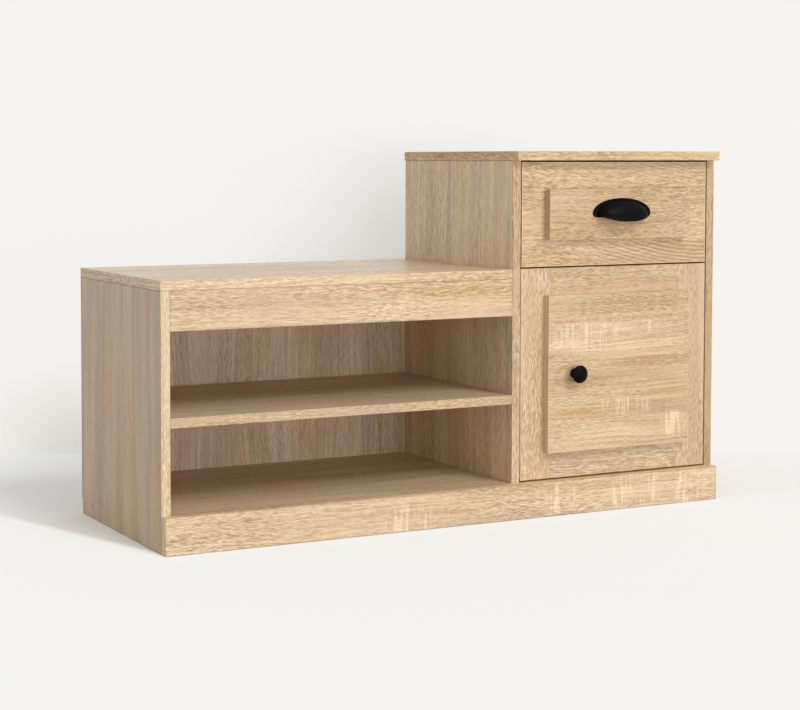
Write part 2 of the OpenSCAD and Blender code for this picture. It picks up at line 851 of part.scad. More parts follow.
module drawer_left_side() {
    color(oak)
        difference() {
            board(box_x0, box_x0 + side_t, fronts_back_y, box_y1, box_z0, box_z0 + side_h);
            bottom_groove();
            dowel_holes(concat(drawer_side_joints, drawer_back_joints), drawer_dowel_r,
                drawer_dowel_face, drawer_dowel_end);
            drawer_rail_screw_holes(left_wall);
        }
}

module drawer_right_side() {
    color(oak)
        difference() {
            board(box_x1 - side_t, box_x1, fronts_back_y, box_y1, box_z0, box_z0 + side_h);
            bottom_groove();
            dowel_holes(concat(drawer_side_joints, drawer_back_joints), drawer_dowel_r,
                drawer_dowel_face, drawer_dowel_end);
            drawer_rail_screw_holes(right_wall);
        }
}

// The back stands on the bottom sheet, which slides in under it
module drawer_back() {
    color(oak)
        difference() {
            board(box_x0 + side_t, box_x1 - side_t, box_y1 - side_t, box_y1,
                groove_z + sheet_t + slip, box_z0 + side_h);
            dowel_holes(drawer_back_joints, drawer_dowel_r, drawer_dowel_face, drawer_dowel_end);
        }
}

module drawer_bottom() {
    room = 0.5;
    color(oak_shade)
        board(box_x0 + side_t - groove_d + room, box_x1 - side_t + groove_d - room,
            fronts_back_y - groove_d + room, box_y1, groove_z, groove_z + sheet_t);
}

module drawer_dowels() {
    color(birch)
        dowel_set(concat(drawer_side_joints, drawer_back_joints), drawer_dowel_r,
            drawer_dowel_face, drawer_dowel_end);
}

module drawer_panel_screws() {
    color(steel)
        panel_screw_set(drawer_panel_screws_at);
}

// --------------------------------------------------------------- cup pull

// The pull is a thin half-shell behind a flat rim. The rim arches over the
// shell and ends in a round foot on each side; the shell opens downwards, and
// its lip dips below the feet. Heights here are over the feet's lower edge.
pull_end_w = 9;         // width of the rim beside the shell
pull_top_w = 4;         // width of the rim over the shell
pull_foot_r = 6.5;      // rounding of the feet
pull_wall = 1.8;        // wall of the shell
rim_t = 1.6;            // thickness of the rim
lip_dip = 7;            // how far the lip dips below the feet
pull_base = -5.7;       // lower edge of the feet from the raised panel's middle
pull_steps = 44;
arc_steps = 10;
pull_y = front_y - raised_t;
pull_z = drawer_panel_mid_z + pull_base;
pull_screw_z = pull_z + 9;
pull_screw_r = 2;
pull_boss_r = 4;
shell_w = pull_w / 2 - pull_end_w;
shell_rise = pull_h - pull_top_w - pull_foot_r;

// The shell's top, lip and reach at angle a along its outline
function shell_top(a) = pull_foot_r + shell_rise * sin(a);
function shell_low(a) = -lip_dip * (1 + cos(180 * pow(abs(cos(a)), 1.7))) / 2;
function shell_out(a) = pow(1 - pow(abs(cos(a)), 2.5), 0.4);

// A point of the shell at angle a along the outline and angle b from the root
// to the lip, with the surface set in by d
function dome(a, b, d) =
    let (top = shell_top(a) - d, low = shell_low(a))
    [(shell_w - d) * cos(a), -(pull_out - d) * shell_out(a) * sin(b),
        low + (top - low) * cos(b)];

function pull_section(a) = concat(
    [for (i = [0 : arc_steps]) dome(a, 90 * i / arc_steps, 0)],
    [for (i = [arc_steps : -1 : 0]) dome(a, 90 * i / arc_steps, pull_wall)]);

pull_end = 4;           // angle at which the shell stops at each end
pull_angles = [for (i = [0 : pull_steps])
    pull_end + (180 - 2 * pull_end) * i / pull_steps];
section_n = 2 * arc_steps + 2;

// Each end of the shell is closed by a wall down to the feet's lower edge
function end_corners(a) = [for (d = [0, pull_wall])
    [(shell_w - d) * cos(a), 0, shell_low(a)]];

module pull_shell() {
    last = pull_steps * section_n;
    count = last + section_n;
    points = concat(
        [for (a = pull_angles) each pull_section(a)],
        end_corners(pull_end), end_corners(180 - pull_end));
    skin = [for (i = [0 : pull_steps - 1])
        for (k = [0 : section_n - 1])
            let (k2 = (k + 1) % section_n, p = i * section_n, q = p + section_n)
            each [[p + k, p + k2, q + k2], [p + k, q + k2, q + k]]];
    function end_wall(first, outer, inner) = concat(
        [for (k = [0 : arc_steps - 1])
            let (m = section_n - 1 - k)
            each [[first + k + 1, first + k, outer], [first + m, first + m - 1, inner]]],
        [[first + arc_steps, outer, inner], [first + arc_steps, inner, first + arc_steps + 1],
         [outer, first, first + section_n - 1], [outer, first + section_n - 1, inner]]);
    near = end_wall(0, count, count + 1);
    far = [for (f = end_wall(last, count + 2, count + 3)) [f[2], f[1], f[0]]];
    polyhedron(points = points, faces = concat(skin, near, far), convexity = 6);
}

// The rim's inner edge runs inside the shell's wall
module pull_rim() {
    rim_rise = pull_h - pull_foot_r;
    foot_x = pull_w / 2 - pull_foot_r;
    in_w = shell_w - pull_wall / 2;
    rotate([90, 0, 0])
        linear_extrude(rim_t)
            polygon(concat(
                [for (i = [0 : 48]) let (a = 180 * i / 48)
                    [pull_w / 2 * cos(a), pull_foot_r + rim_rise * sin(a)]],
                [for (i = [1 : 8]) let (a = 180 + 90 * i / 8)
                    [pull_foot_r * cos(a) - foot_x, pull_foot_r * (1 + sin(a))]],
                [[-in_w, 0]],
                [for (i = [0 : 36]) let (a = 180 - 180 * i / 36)
                    [in_w * cos(a), shell_top(a) - pull_wall / 2]],
                [[in_w, 0]],
                [for (i = [0 : 7]) let (a = 270 + 90 * i / 8)
                    [pull_foot_r * cos(a) + foot_x, pull_foot_r * (1 + sin(a))]]));
}

module pull_places() {
    for (side = [-1, 1])
        translate([front_mid_x + side * pull_screw_gap / 2, pull_y, pull_screw_z])
            children();
}

// The screw bosses end inside the shell's wall, where it is nearest to them
boss_x = pull_screw_gap / 2 + 0.7 * pull_boss_r;
boss_z = pull_screw_z - pull_z + 0.7 * pull_boss_r;
boss_a = acos(boss_x / shell_w);
boss_b = acos((boss_z - shell_low(boss_a)) / (shell_top(boss_a) - shell_low(boss_a)));
boss_l = pull_out * shell_out(boss_a) * sin(boss_b) - 0.5;
pull_screw_l = board_t + raised_t + boss_l - 3;

module cup_pull() {
    color(dark_metal)
        difference() {
            union() {
                translate([front_mid_x, pull_y, pull_z]) {
                    pull_shell();
                    pull_rim();
                }
                pull_places()
                    rod([0, 0, 0], [0, -1, 0], pull_boss_r, boss_l);
            }
            pull_places()
                rod([0, cut, 0], [0, -1, 0], pull_screw_r + slip, boss_l - 2 + cut);
        }
}

module pull_screw_holes() {
    pull_places()
        rod([0, board_t + raised_t + cut, 0], [0, -1, 0], pull_screw_r + slip,
            board_t + raised_t + 2 * cut);
}

module cup_pull_screws() {
    color(steel)
        pull_places()
            screw([0, board_t + raised_t + 2, 0], [0, -1, 0], pull_screw_r,
                pull_screw_l + 2, 4, 2);
}

// --------------------------------------------------------------- the door

door_panel_x0 = door_x0 + raised_margin;
door_panel_x1 = front_x1 - raised_margin;
door_panel_z0 = door_z0 + raised_margin;
door_panel_z1 = door_z1 - raised_margin;
lap = frame_w - raised_margin;     // how far the raised panel laps over the frame
door_screw_r = 1.5;
door_screw_head_r = 2.8;
screw_line = raised_margin + lap / 2;
door_mid_x = (door_x0 + front_x1) / 2;
door_mid_z = (door_z0 + door_z1) / 2;
stile_screw_dz = 0.2 * (door_z1 - door_z0) / 2;
rail_screw_dx = 0.4 * (front_x1 - door_x0) / 2;
door_panel_screws_at = concat(
    [for (x = [door_x0 + screw_line, front_x1 - screw_line])
        for (z = [door_mid_z - stile_screw_dz, door_mid_z + stile_screw_dz]) [x, z]],
    [for (x = [door_mid_x - rail_screw_dx, door_mid_x + rail_screw_dx])
        for (z = [door_z0 + screw_line, door_z1 - screw_line]) [x, z]]);

frame_joint_r = 3;
frame_joint_face = 16;
frame_joint_end = 16;
frame_joint_y = front_y + board_t / 2;
function frame_zs(z) = [z + frame_w / 4, z + frame_w * 3 / 4];
top_rail_z = door_z1 - frame_w;
free_joints = concat(
    side_joints(door_x0 + frame_w, frame_joint_y, frame_zs(door_z0), [1, 0, 0]),
    side_joints(door_x0 + frame_w, frame_joint_y, frame_zs(top_rail_z), [1, 0, 0]));
hinge_joints = concat(
    side_joints(front_x1 - frame_w, frame_joint_y, frame_zs(door_z0), [-1, 0, 0]),
    side_joints(front_x1 - frame_w, frame_joint_y, frame_zs(top_rail_z), [-1, 0, 0]));

module frame_joint_holes(joints) {
    dowel_holes(joints, frame_joint_r, frame_joint_face, frame_joint_end);
}

module door_screw_holes() {
    for (p = door_panel_screws_at) {
        rod([p[0], fronts_back_y + slip, p[1]], [0, -1, 0], door_screw_r + slip,
            panel_screw_l + 0.5);
        rod([p[0], fronts_back_y + cut, p[1]], [0, -1, 0], door_screw_head_r + slip,
            panel_screw_head_h + cut);
    }
}

module door_hinge_stile() {
    color(oak_edge)
        difference() {
            board(front_x1 - frame_w, front_x1, front_y, fronts_back_y, door_z0, door_z1);
            frame_joint_holes(hinge_joints);
            door_screw_holes();
            hinge_bores();
        }
}

module door_free_stile() {
    color(oak_edge)
        difference() {
            board(door_x0, door_x0 + frame_w, front_y, fronts_back_y, door_z0, door_z1);
            frame_joint_holes(free_joints);
            door_screw_holes();
            striker_screw_hole();
        }
}

module door_rail(z) {
    color(oak)
        difference() {
            board(door_x0 + frame_w, front_x1 - frame_w, front_y, fronts_back_y, z, z + frame_w);
            frame_joint_holes(free_joints);
            frame_joint_holes(hinge_joints);
            door_screw_holes();
        }
}

module door_top_rail() {
    door_rail(top_rail_z);
}

module door_bottom_rail() {
    door_rail(door_z0);
}

module door_frame_dowels() {
    color(birch)
        dowel_set(concat(free_joints, hinge_joints), frame_joint_r, frame_joint_face,
            frame_joint_end);
}

module door_raised_panel() {
    color(oak_edge)
        difference() {
            board(door_panel_x0, door_panel_x1, front_y - raised_t, front_y,
                door_panel_z0, door_panel_z1);
            door_screw_holes();
            rod([knob_x, front_y + cut, door_mid_z], [0, -1, 0], knob_screw_r + slip,
                raised_t + 2 * cut);
        }
}

module door_panel_screws() {
    color(steel)
        for (p = door_panel_screws_at)
            screw([p[0], fronts_back_y, p[1]], [0, -1, 0], door_screw_r, panel_screw_l,
                door_screw_head_r, panel_screw_head_h);
}

// A turned knob: a short foot, a waist that flares under a broad head, and a
// domed face that runs smoothly into the head's rim
knob_x = door_panel_x0 + knob_inset;
knob_y = front_y - raised_t;
knob_screw_r = 2;
knob_thread_l = 12;
knob_edge = 2;          // rounding of the head's rim
knob_slope = 35;        // slope of the face where it meets the rim

module knob_profile() {
    foot_r = knob_r * 0.56;
    foot_h = knob_out * 0.12;
    foot_edge = 0.8;
    waist_r = knob_r * 0.38;
    waist_h = knob_out * 0.34;
    face_r = knob_r - knob_edge * (1 - sin(knob_slope));
    dome = face_r * tan(knob_slope) / 2;
    rim_z = knob_out - dome - knob_edge * cos(knob_slope);   // the widest plane
    under_z = rim_z - knob_edge;
    polygon(concat(
        [[0, 0], [foot_r, 0]],
        [for (i = [0 : 3]) let (a = 90 * i / 3)
            [foot_r - foot_edge * (1 - cos(a)), foot_h - foot_edge * (1 - sin(a))]],
        [for (i = [1 : 6]) let (s = i / 6)
            [waist_r + (foot_r - foot_edge - waist_r) * pow(1 - s, 2),
             foot_h + (waist_h - foot_h) * s]],
        [for (i = [1 : 8]) let (a = 90 * i / 8)
            [waist_r + (knob_r - knob_edge - waist_r) * (1 - cos(a)),
             waist_h + (under_z - waist_h) * sin(a)]],
        [for (i = [1 : 8]) let (a = -90 + (180 - knob_slope) * i / 8)
            [knob_r - knob_edge * (1 - cos(a)), rim_z + knob_edge * sin(a)]],
        [for (i = [1 : 6]) let (r = face_r * (1 - i / 6))
            [r, knob_out - dome * pow(r / face_r, 2)]]));
}

module door_knob() {
    color(dark_metal)
        difference() {
            translate([knob_x, knob_y, door_mid_z])
                along([0, -1, 0])
                    rotate_extrude($fn = 64)
                        knob_profile();
            rod([knob_x, knob_y + cut, door_mid_z], [0, -1, 0], knob_screw_r + slip,
                knob_thread_l + cut);
        }
}

module knob_screw() {
    color(steel)
        screw([knob_x, front_y + 2, door_mid_z], [0, -1, 0], knob_screw_r,
            raised_t + knob_thread_l, 4, 2);
}

// ------------------------------------------------------------- cup hinges

// Drawn from above with U = 0 at the door's edge, V = 0 at its front face:
// the pin sits in the cup, and the arm curls from it round the door's edge to
// the plate on the cabinet wall.
hinge_zs = [door_z0 + hinge_inset, door_z1 - hinge_inset];
cup_wall = 1;
cup_floor_v = board_t - cup_depth + 0.2;         // outside of the cup's floor
flange_rim_t = 1;
flange_rim_r = cup_r + 1.4;
wing_l = 22;                                     // cup's middle to each wing screw
eye_r = 2.8;
pin_v = cup_floor_v + cup_wall + eye_r + 0.35;
arm_w = 12;
arm_t = 2.2;
ear_t = 2;
ear_gap = 0.3;
swept_r = norm([pin_offset, board_t + flange_rim_t - pin_v]);
arm_in_r = swept_r + 0.6;
arm_out_r = arm_in_r + arm_t;
plate_t = 2;
plate_u0 = front_gap - plate_t;                  // face of the plate that the arm lies on
arm_u0 = plate_u0 - arm_t;
arm_back_v = 66;
plate_v0 = 30;
plate_v1 = 62;
plate_h = 44;
plate_w = 16;
plate_screw_v = plate_v0 + plate_w / 2;
plate_screw_dz = plate_h / 2 - 6;
arm_screw_v = 52;
arm_screw_r = 1.8;

module at_hinge(z) {
    translate([front_x1, front_y, z])
        children();
}

module cup_body() {
    cup_out = cup_r - slip;
    difference() {
        union() {
            rod([-cup_offset, cup_floor_v, 0], [0, 1, 0], cup_out, board_t - cup_floor_v);
            rod([-cup_offset, board_t, 0], [0, 1, 0], flange_rim_r, flange_rim_t);
            translate([-cup_offset - 6, board_t, -wing_l - 5])
                cube([12, flange_rim_t, 2 * wing_l + 10]);
        }
        rod([-cup_offset, cup_floor_v + cup_wall, 0], [0, 1, 0], cup_r - cup_wall, board_t);
        for (side = [-1, 1])
            rod([-cup_offset, board_t - cut, side * wing_l], [0, 1, 0],
                hardware_screw_r + slip, flange_rim_t + 2 * cut);
    }
    // Ears that hold the pin on both sides of the arm
    for (side = [-1, 1])
        difference() {
            ear_z = arm_w / 2 + ear_gap;
            translate([-pin_offset, 0, side > 0 ? ear_z : -ear_z - ear_t])
                union() {
                    translate([0, pin_v, 0])
                        cylinder(r = eye_r, h = ear_t);
                    translate([-eye_r, cup_floor_v + cup_wall / 2, 0])
                        cube([2 * eye_r, pin_v - cup_floor_v - cup_wall / 2, ear_t]);
                }
            rod([-pin_offset, pin_v, -cup_r], [0, 0, 1], pin_r + slip / 5, 2 * cup_r);
        }
}

// The arm's outline, seen along the pin
module arm_outline() {
    back_u = arm_u0 + arm_t;
    // Angle at which the curl meets the straight back, from the pin
    meet = acos((back_u + pin_offset) / arm_out_r);
    translate([-pin_offset, pin_v])
        difference() {
            union() {
                circle(r = eye_r);
                translate([-arm_in_r - arm_t / 2, -arm_t / 2])
                    square([arm_in_r + arm_t / 2, arm_t]);
                difference() {
                    circle(r = arm_out_r, $fn = 96);
                    circle(r = arm_in_r, $fn = 96);
                    translate([-2 * arm_out_r, -2 * arm_out_r - arm_t / 2])
                        square([4 * arm_out_r, 2 * arm_out_r]);
                    rotate(meet)
                        translate([0, -2 * arm_out_r])
                            square([2 * arm_out_r, 2 * arm_out_r]);
                }
            }
            circle(r = pin_r + slip);
        }
    // Straight back of the arm, on the plate
    curl_end_v = pin_v + sqrt(pow(arm_out_r, 2) - pow(back_u + pin_offset, 2));
    translate([arm_u0, curl_end_v - 0.6])
        square([arm_t, arm_back_v - curl_end_v + 0.6]);
}

module hinge_arm() {
    difference() {
        translate([0, 0, -arm_w / 2])
            linear_extrude(arm_w)
                arm_outline();
        rod([arm_u0 - cut, arm_screw_v, 0], [1, 0, 0], arm_screw_r + slip, arm_t + 2 * cut);
    }
}

// Cross-shaped plate on the cabinet wall
module hinge_plate() {
    difference() {
        union() {
            translate([plate_u0, plate_v0, -plate_h / 2])
                cube([plate_t, plate_w, plate_h]);
            translate([plate_u0, plate_v0, -arm_w / 2 - 1])
                cube([plate_t, plate_v1 - plate_v0, arm_w + 2]);
        }
        for (side = [-1, 1])
            rod([plate_u0 - cut, plate_screw_v, side * plate_screw_dz], [1, 0, 0],
                hardware_screw_r + slip, plate_t + 2 * cut);
        rod([plate_u0 - cut, arm_screw_v, 0], [1, 0, 0], arm_screw_r + slip, plate_t + 2 * cut);
    }
}

module hinge_cups() {
    color(steel)
        for (z = hinge_zs)
            at_hinge(z)
                cup_body();
}

module hinge_pins() {
    half = arm_w / 2 + ear_gap + ear_t + 0.4;
    color(steel)
        for (z = hinge_zs)
            at_hinge(z)
                rod([-pin_offset, pin_v, -half], [0, 0, 1], pin_r, 2 * half);
}

module hinge_arms() {
    color(steel)
        for (z = hinge_zs)
            at_hinge(z)
                hinge_arm();
}

module hinge_plates() {
    color(steel)
        for (z = hinge_zs)
            at_hinge(z)
                hinge_plate();
}

module hinge_arm_screws() {
    color(steel)
        for (z = hinge_zs)
            at_hinge(z)
                screw([arm_u0 - 1.6, arm_screw_v, 0], [1, 0, 0], arm_screw_r,
                    1.6 + arm_t + plate_t + 9, 4, 1.6);
}

module hinge_plate_screw_holes() {
    for (z = hinge_zs)
        at_hinge(z) {
            for (side = [-1, 1])
                rod([front_gap - slip, plate_screw_v, side * plate_screw_dz], [1, 0, 0],
                    hardware_screw_r + slip, hardware_screw_l - plate_t + 0.5);
            rod([front_gap - slip, arm_screw_v, 0], [1, 0, 0], arm_screw_r + slip, 9.5);
        }
}

// Bores in the hinge stile for the cups and their screws
module hinge_bores() {
    for (z = hinge_zs)
        at_hinge(z) {
            rod([-cup_offset, board_t - cup_depth, 0], [0, 1, 0], cup_r, cup_depth + cut);
            for (side = [-1, 1])
                rod([-cup_offset, board_t + cut, side * wing_l], [0, -1, 0],
                    hardware_screw_r + slip, hardware_screw_l - flange_rim_t + cut + 0.3);
        }
}

// ---------------------------------------------------------- magnetic catch

// The catch hangs under the partition and meets a steel plate on the door
catch_x = door_x0 + frame_w / 2;
striker_t = 1.5;
striker_h = 16;
striker_w = 30;
catch_w = 46;
catch_h = 13;
catch_l = 32;
catch_y0 = fronts_back_y + striker_t + run_gap;
catch_z0 = partition_z - catch_h;
striker_z = catch_z0 + catch_h / 2;
catch_screw_y = catch_y0 + catch_l - 9;
catch_screw_dx = catch_w / 2 - 7;
catch_foot_t = 3;

// Body with the magnet in front and a thinner foot with two screws behind
module catch_housing() {
    color(white_plastic)
        difference() {
            union() {
                board(catch_x - catch_w / 2, catch_x + catch_w / 2, catch_y0,
                    catch_y0 + catch_l, partition_z - catch_foot_t, partition_z);
                board(catch_x - striker_w / 2, catch_x + striker_w / 2, catch_y0,
                    catch_y0 + catch_l - 16, catch_z0, partition_z);
            }
            for (side = [-1, 1])
                rod([catch_x + side * catch_screw_dx, catch_screw_y,
                    partition_z - catch_foot_t - cut],
                    [0, 0, 1], hardware_screw_r + slip, catch_foot_t + 2 * cut);
        }
}

module catch_screw_holes() {
    for (side = [-1, 1])
        rod([catch_x + side * catch_screw_dx, catch_screw_y, partition_z - cut],
            [0, 0, 1], hardware_screw_r + slip, hardware_screw_l - catch_foot_t + 0.5 + cut);
}

module catch_striker() {
    color(steel)
        difference() {
            board(catch_x - striker_w / 2, catch_x + striker_w / 2, fronts_back_y,
                fronts_back_y + striker_t, striker_z - striker_h / 2, striker_z + striker_h / 2);
            rod([catch_x, fronts_back_y - cut, striker_z], [0, 1, 0],
                hardware_screw_r + slip, striker_t + 2 * cut);
            // Countersink that keeps the screw's head below the face
            rod([catch_x, fronts_back_y + striker_t - hardware_head_h - 0.1, striker_z],
                [0, 1, 0], hardware_head_r + slip, hardware_head_h + cut);
        }
}

module striker_screw_hole() {
    rod([catch_x, fronts_back_y + cut, striker_z], [0, -1, 0], hardware_screw_r + slip,
        hardware_screw_l + cut);
}

module carcass_hardware_screws() {
    color(steel) {
        for (wall = [left_wall, right_wall])
            on_wall(wall)
                for (y = rail_screw_ys)
                    hardware_screw([steel_t, y, rail_screw_z], [-1, 0, 0]);
        for (z = hinge_zs)
            at_hinge(z)
                for (side = [-1, 1])
                    hardware_screw([plate_u0, plate_screw_v, side * plate_screw_dz], [1, 0, 0]);
        for (side = [-1, 1])
            hardware_screw([catch_x + side * catch_screw_dx, catch_screw_y,
                partition_z - catch_foot_t], [0, 0, 1]);
    }
}

module door_hardware_screws() {
    color(steel) {
        for (z = hinge_zs)
            at_hinge(z)
                for (side = [-1, 1])
                    hardware_screw([-cup_offset, board_t + flange_rim_t, side * wing_l],
                        [0, -1, 0]);
        hardware_screw([catch_x, fronts_back_y + striker_t - hardware_head_h - 0.1, striker_z],
            [0, -1, 0]);
    }
}

// ------------------------------------------------------------------ nodes

left_side_panel();
divider_panel();
right_side_panel();
bench_top();
bench_apron();
bench_rear_rail();
middle_shelf();
bench_bottom_panel();
cabinet_top();
cabinet_partition();
cabinet_bottom_panel();
plinth_board();
bench_rear_plinth();
cabinet_rear_plinth();
bench_back_panel();
cabinet_back_panel();
dowels();
cam_bolts();
cam_discs();
shelf_pins();
back_nails();
cabinet_rail_left();
cabinet_rail_right();
cabinet_roller_left();
cabinet_roller_right();
hinge_plates();
hinge_arms();
hinge_arm_screws();
catch_housing();
carcass_hardware_screws();
drawer_front();
drawer_raised_panel();
drawer_left_side();
drawer_right_side();
drawer_back();
drawer_bottom();
drawer_dowels();
drawer_panel_screws();
cup_pull();
cup_pull_screws();
drawer_rail_left();
drawer_rail_right();
drawer_rail_screws();
drawer_roller_left();
drawer_roller_right();
door_hinge_stile();
door_free_stile();
door_top_rail();
door_bottom_rail();
door_frame_dowels();
door_raised_panel();
door_panel_screws();
door_knob();
knob_screw();
hinge_cups();
hinge_pins();
door_hardware_screws();
catch_striker();
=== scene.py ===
"""Entryway bench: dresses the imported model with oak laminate, black handles and plated hardware,
and sets the floor, the backdrop, the lights and the camera. Metres, in the CAD's own frame."""
import math

import bpy
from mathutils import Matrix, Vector


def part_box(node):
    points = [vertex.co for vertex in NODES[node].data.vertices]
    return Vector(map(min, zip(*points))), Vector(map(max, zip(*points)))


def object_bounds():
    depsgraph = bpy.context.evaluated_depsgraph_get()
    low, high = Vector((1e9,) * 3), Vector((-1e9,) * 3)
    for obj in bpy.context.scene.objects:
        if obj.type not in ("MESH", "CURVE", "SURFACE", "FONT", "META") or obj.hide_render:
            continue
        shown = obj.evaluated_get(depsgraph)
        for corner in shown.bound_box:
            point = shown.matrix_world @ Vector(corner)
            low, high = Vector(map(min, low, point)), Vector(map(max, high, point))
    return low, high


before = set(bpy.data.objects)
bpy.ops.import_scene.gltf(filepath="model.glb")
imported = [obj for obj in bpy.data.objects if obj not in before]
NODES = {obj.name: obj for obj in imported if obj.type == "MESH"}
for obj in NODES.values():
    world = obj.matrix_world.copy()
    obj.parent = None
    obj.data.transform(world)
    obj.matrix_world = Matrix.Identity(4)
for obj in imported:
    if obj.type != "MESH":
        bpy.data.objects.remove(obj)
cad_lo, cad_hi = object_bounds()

MM = 0.001


def srgb(r, g, b):
    """Linear colour of an sRGB colour given in 0..255."""
    out = []
    for c in (r, g, b):
        c = c / 255
        out.append(c / 12.92 if c <= 0.04045 else ((c + 0.055) / 1.055) ** 2.4)
    return (*out, 1.0)


def share_of(color, share):
    """A colour whose red, green and blue are a share of another's."""
    return (*(c * share for c in color[:3]), 1.0)


# ---------------------------------------------------------------- node trees


class Graph:
    """Short names for the nodes of one tree. A value is a number, a colour or another socket."""

    def __init__(self, tree):
        self.tree = tree

    def node(self, kind, **settings):
        n = self.tree.nodes.new(kind)
        for key, value in settings.items():
            setattr(n, key, value)
        return n

    def put(self, socket, value):
        if isinstance(value, bpy.types.NodeSocket):
            self.tree.links.new(value, socket)
        else:
            socket.default_value = value

    def fill(self, node, *values):
        """Puts values into a node's first inputs, and gives its first output."""
        for socket, value in zip(node.inputs, values):
            self.put(socket, value)
        return node.outputs[0]

    def math(self, op, *values):
        return self.fill(self.node("ShaderNodeMath", operation=op), *values)

    def mul(self, a, b):
        return self.math("MULTIPLY", a, b)

    def add(self, a, b):
        return self.math("ADD", a, b)

    def sub(self, a, b):
        return self.math("SUBTRACT", a, b)

    def size(self, a):
        return self.math("ABSOLUTE", a)

    def xyz(self, x, y, z):
        return self.fill(self.node("ShaderNodeCombineXYZ"), x, y, z)

    def split(self, vector):
        n = self.node("ShaderNodeSeparateXYZ")
        self.fill(n, vector)
        return n.outputs

    def measure(self, op, *vectors):
        """The number that a vector operation gives, such as a length."""
        n = self.node("ShaderNodeVectorMath", operation=op)
        self.fill(n, *vectors)
        return n.outputs["Value"]

    def noise(self, vector, detail=2.0, rough=0.5):
        n = self.node("ShaderNodeTexNoise", noise_dimensions="3D")
        self.put(n.inputs["Vector"], vector)
        self.put(n.inputs["Scale"], 1.0)
        self.put(n.inputs["Detail"], detail)
        self.put(n.inputs["Roughness"], rough)
        return n.outputs[0]

    def cells(self, p, *per_metre):
        """A point with its coordinates counted in noise cells of so many to the metre."""
        return self.xyz(*(self.mul(c, count) for c, count in zip(p, per_metre)))

    def ramp(self, value, low, high, to_low=0.0, to_high=1.0):
        """A smooth step from to_low to to_high while the value goes from low to high."""
        n = self.node("ShaderNodeMapRange", clamp=True, interpolation_type="SMOOTHSTEP")
        return self.fill(n, value, low, high, to_low, to_high)

    def mix(self, factor, a, b, blend="MIX"):
        """A mix of two colours."""
        n = self.node("ShaderNodeMix", data_type="RGBA", blend_type=blend)
        self.put(n.inputs[0], factor)
        self.put(n.inputs[6], a)
        self.put(n.inputs[7], b)
        return n.outputs[2]

    def tinted(self, color, tint):
        return self.mix(1.0, color, tint, "MULTIPLY")

    def lerp(self, factor, a, b):
        """A mix of two numbers."""
        n = self.node("ShaderNodeMix", data_type="FLOAT")
        self.put(n.inputs[0], factor)
        self.put(n.inputs[2], a)
        self.put(n.inputs[3], b)
        return n.outputs[0]

    def blend(self, factor, a, b):
        """A mix of two shaders."""
        return self.fill(self.node("ShaderNodeMixShader"), factor, a, b)


def new_material(name):
    mat = bpy.data.materials.new(name)
    mat.use_nodes = True
    mat.node_tree.nodes.clear()
    g = Graph(mat.node_tree)
    shader = g.node("ShaderNodeBsdfPrincipled")
    g.put(g.node("ShaderNodeOutputMaterial").inputs[0], shader.outputs[0])
    return mat, g, shader


def bump(g, shader, height, distance, strength):
    n = g.node("ShaderNodeBump")
    n.inputs["Strength"].default_value = strength
    n.inputs["Distance"].default_value = distance
    g.put(n.inputs["Height"], height)
    g.put(shader.inputs["Normal"], n.outputs[0])


# -------------------------------------------------------------- oak laminate

PALE = srgb(238, 212, 174)
TAN = srgb(217, 187, 148)
DEEP = srgb(186, 151, 110)
GOLD = srgb(214, 172, 116)
GREY = srgb(186, 165, 138)
PINK = srgb(222, 190, 164)
SAWN_AND_HIGHLIGHT = srgb(252, 231, 194)
PORE = srgb(152, 117, 80)
RED = srgb(196, 150, 120)

# What there is of each thing in the grain of a board that doesn't say otherwise. Arc is a place:
# the cathedral lines of the figure run level beyond it.
AMOUNTS = {"Streaks": 1.0, "Bands": 1.0, "Lines": 0.7, "Gold": 0.5, "Grey": 0.3, "Pink": 0.4,
           "Pale": 0.0, "Deep": 0.0, "Figure": 0.0, "Arc": 0.0, "Sawn": 0.0, "Red": 0.0}
# From one cathedral line to the next, how fast the lines fall, and how softly they turn level
LINE_PITCH, LINE_FALL, LINE_TURN = 6.4 * MM, 0.25, 0.12


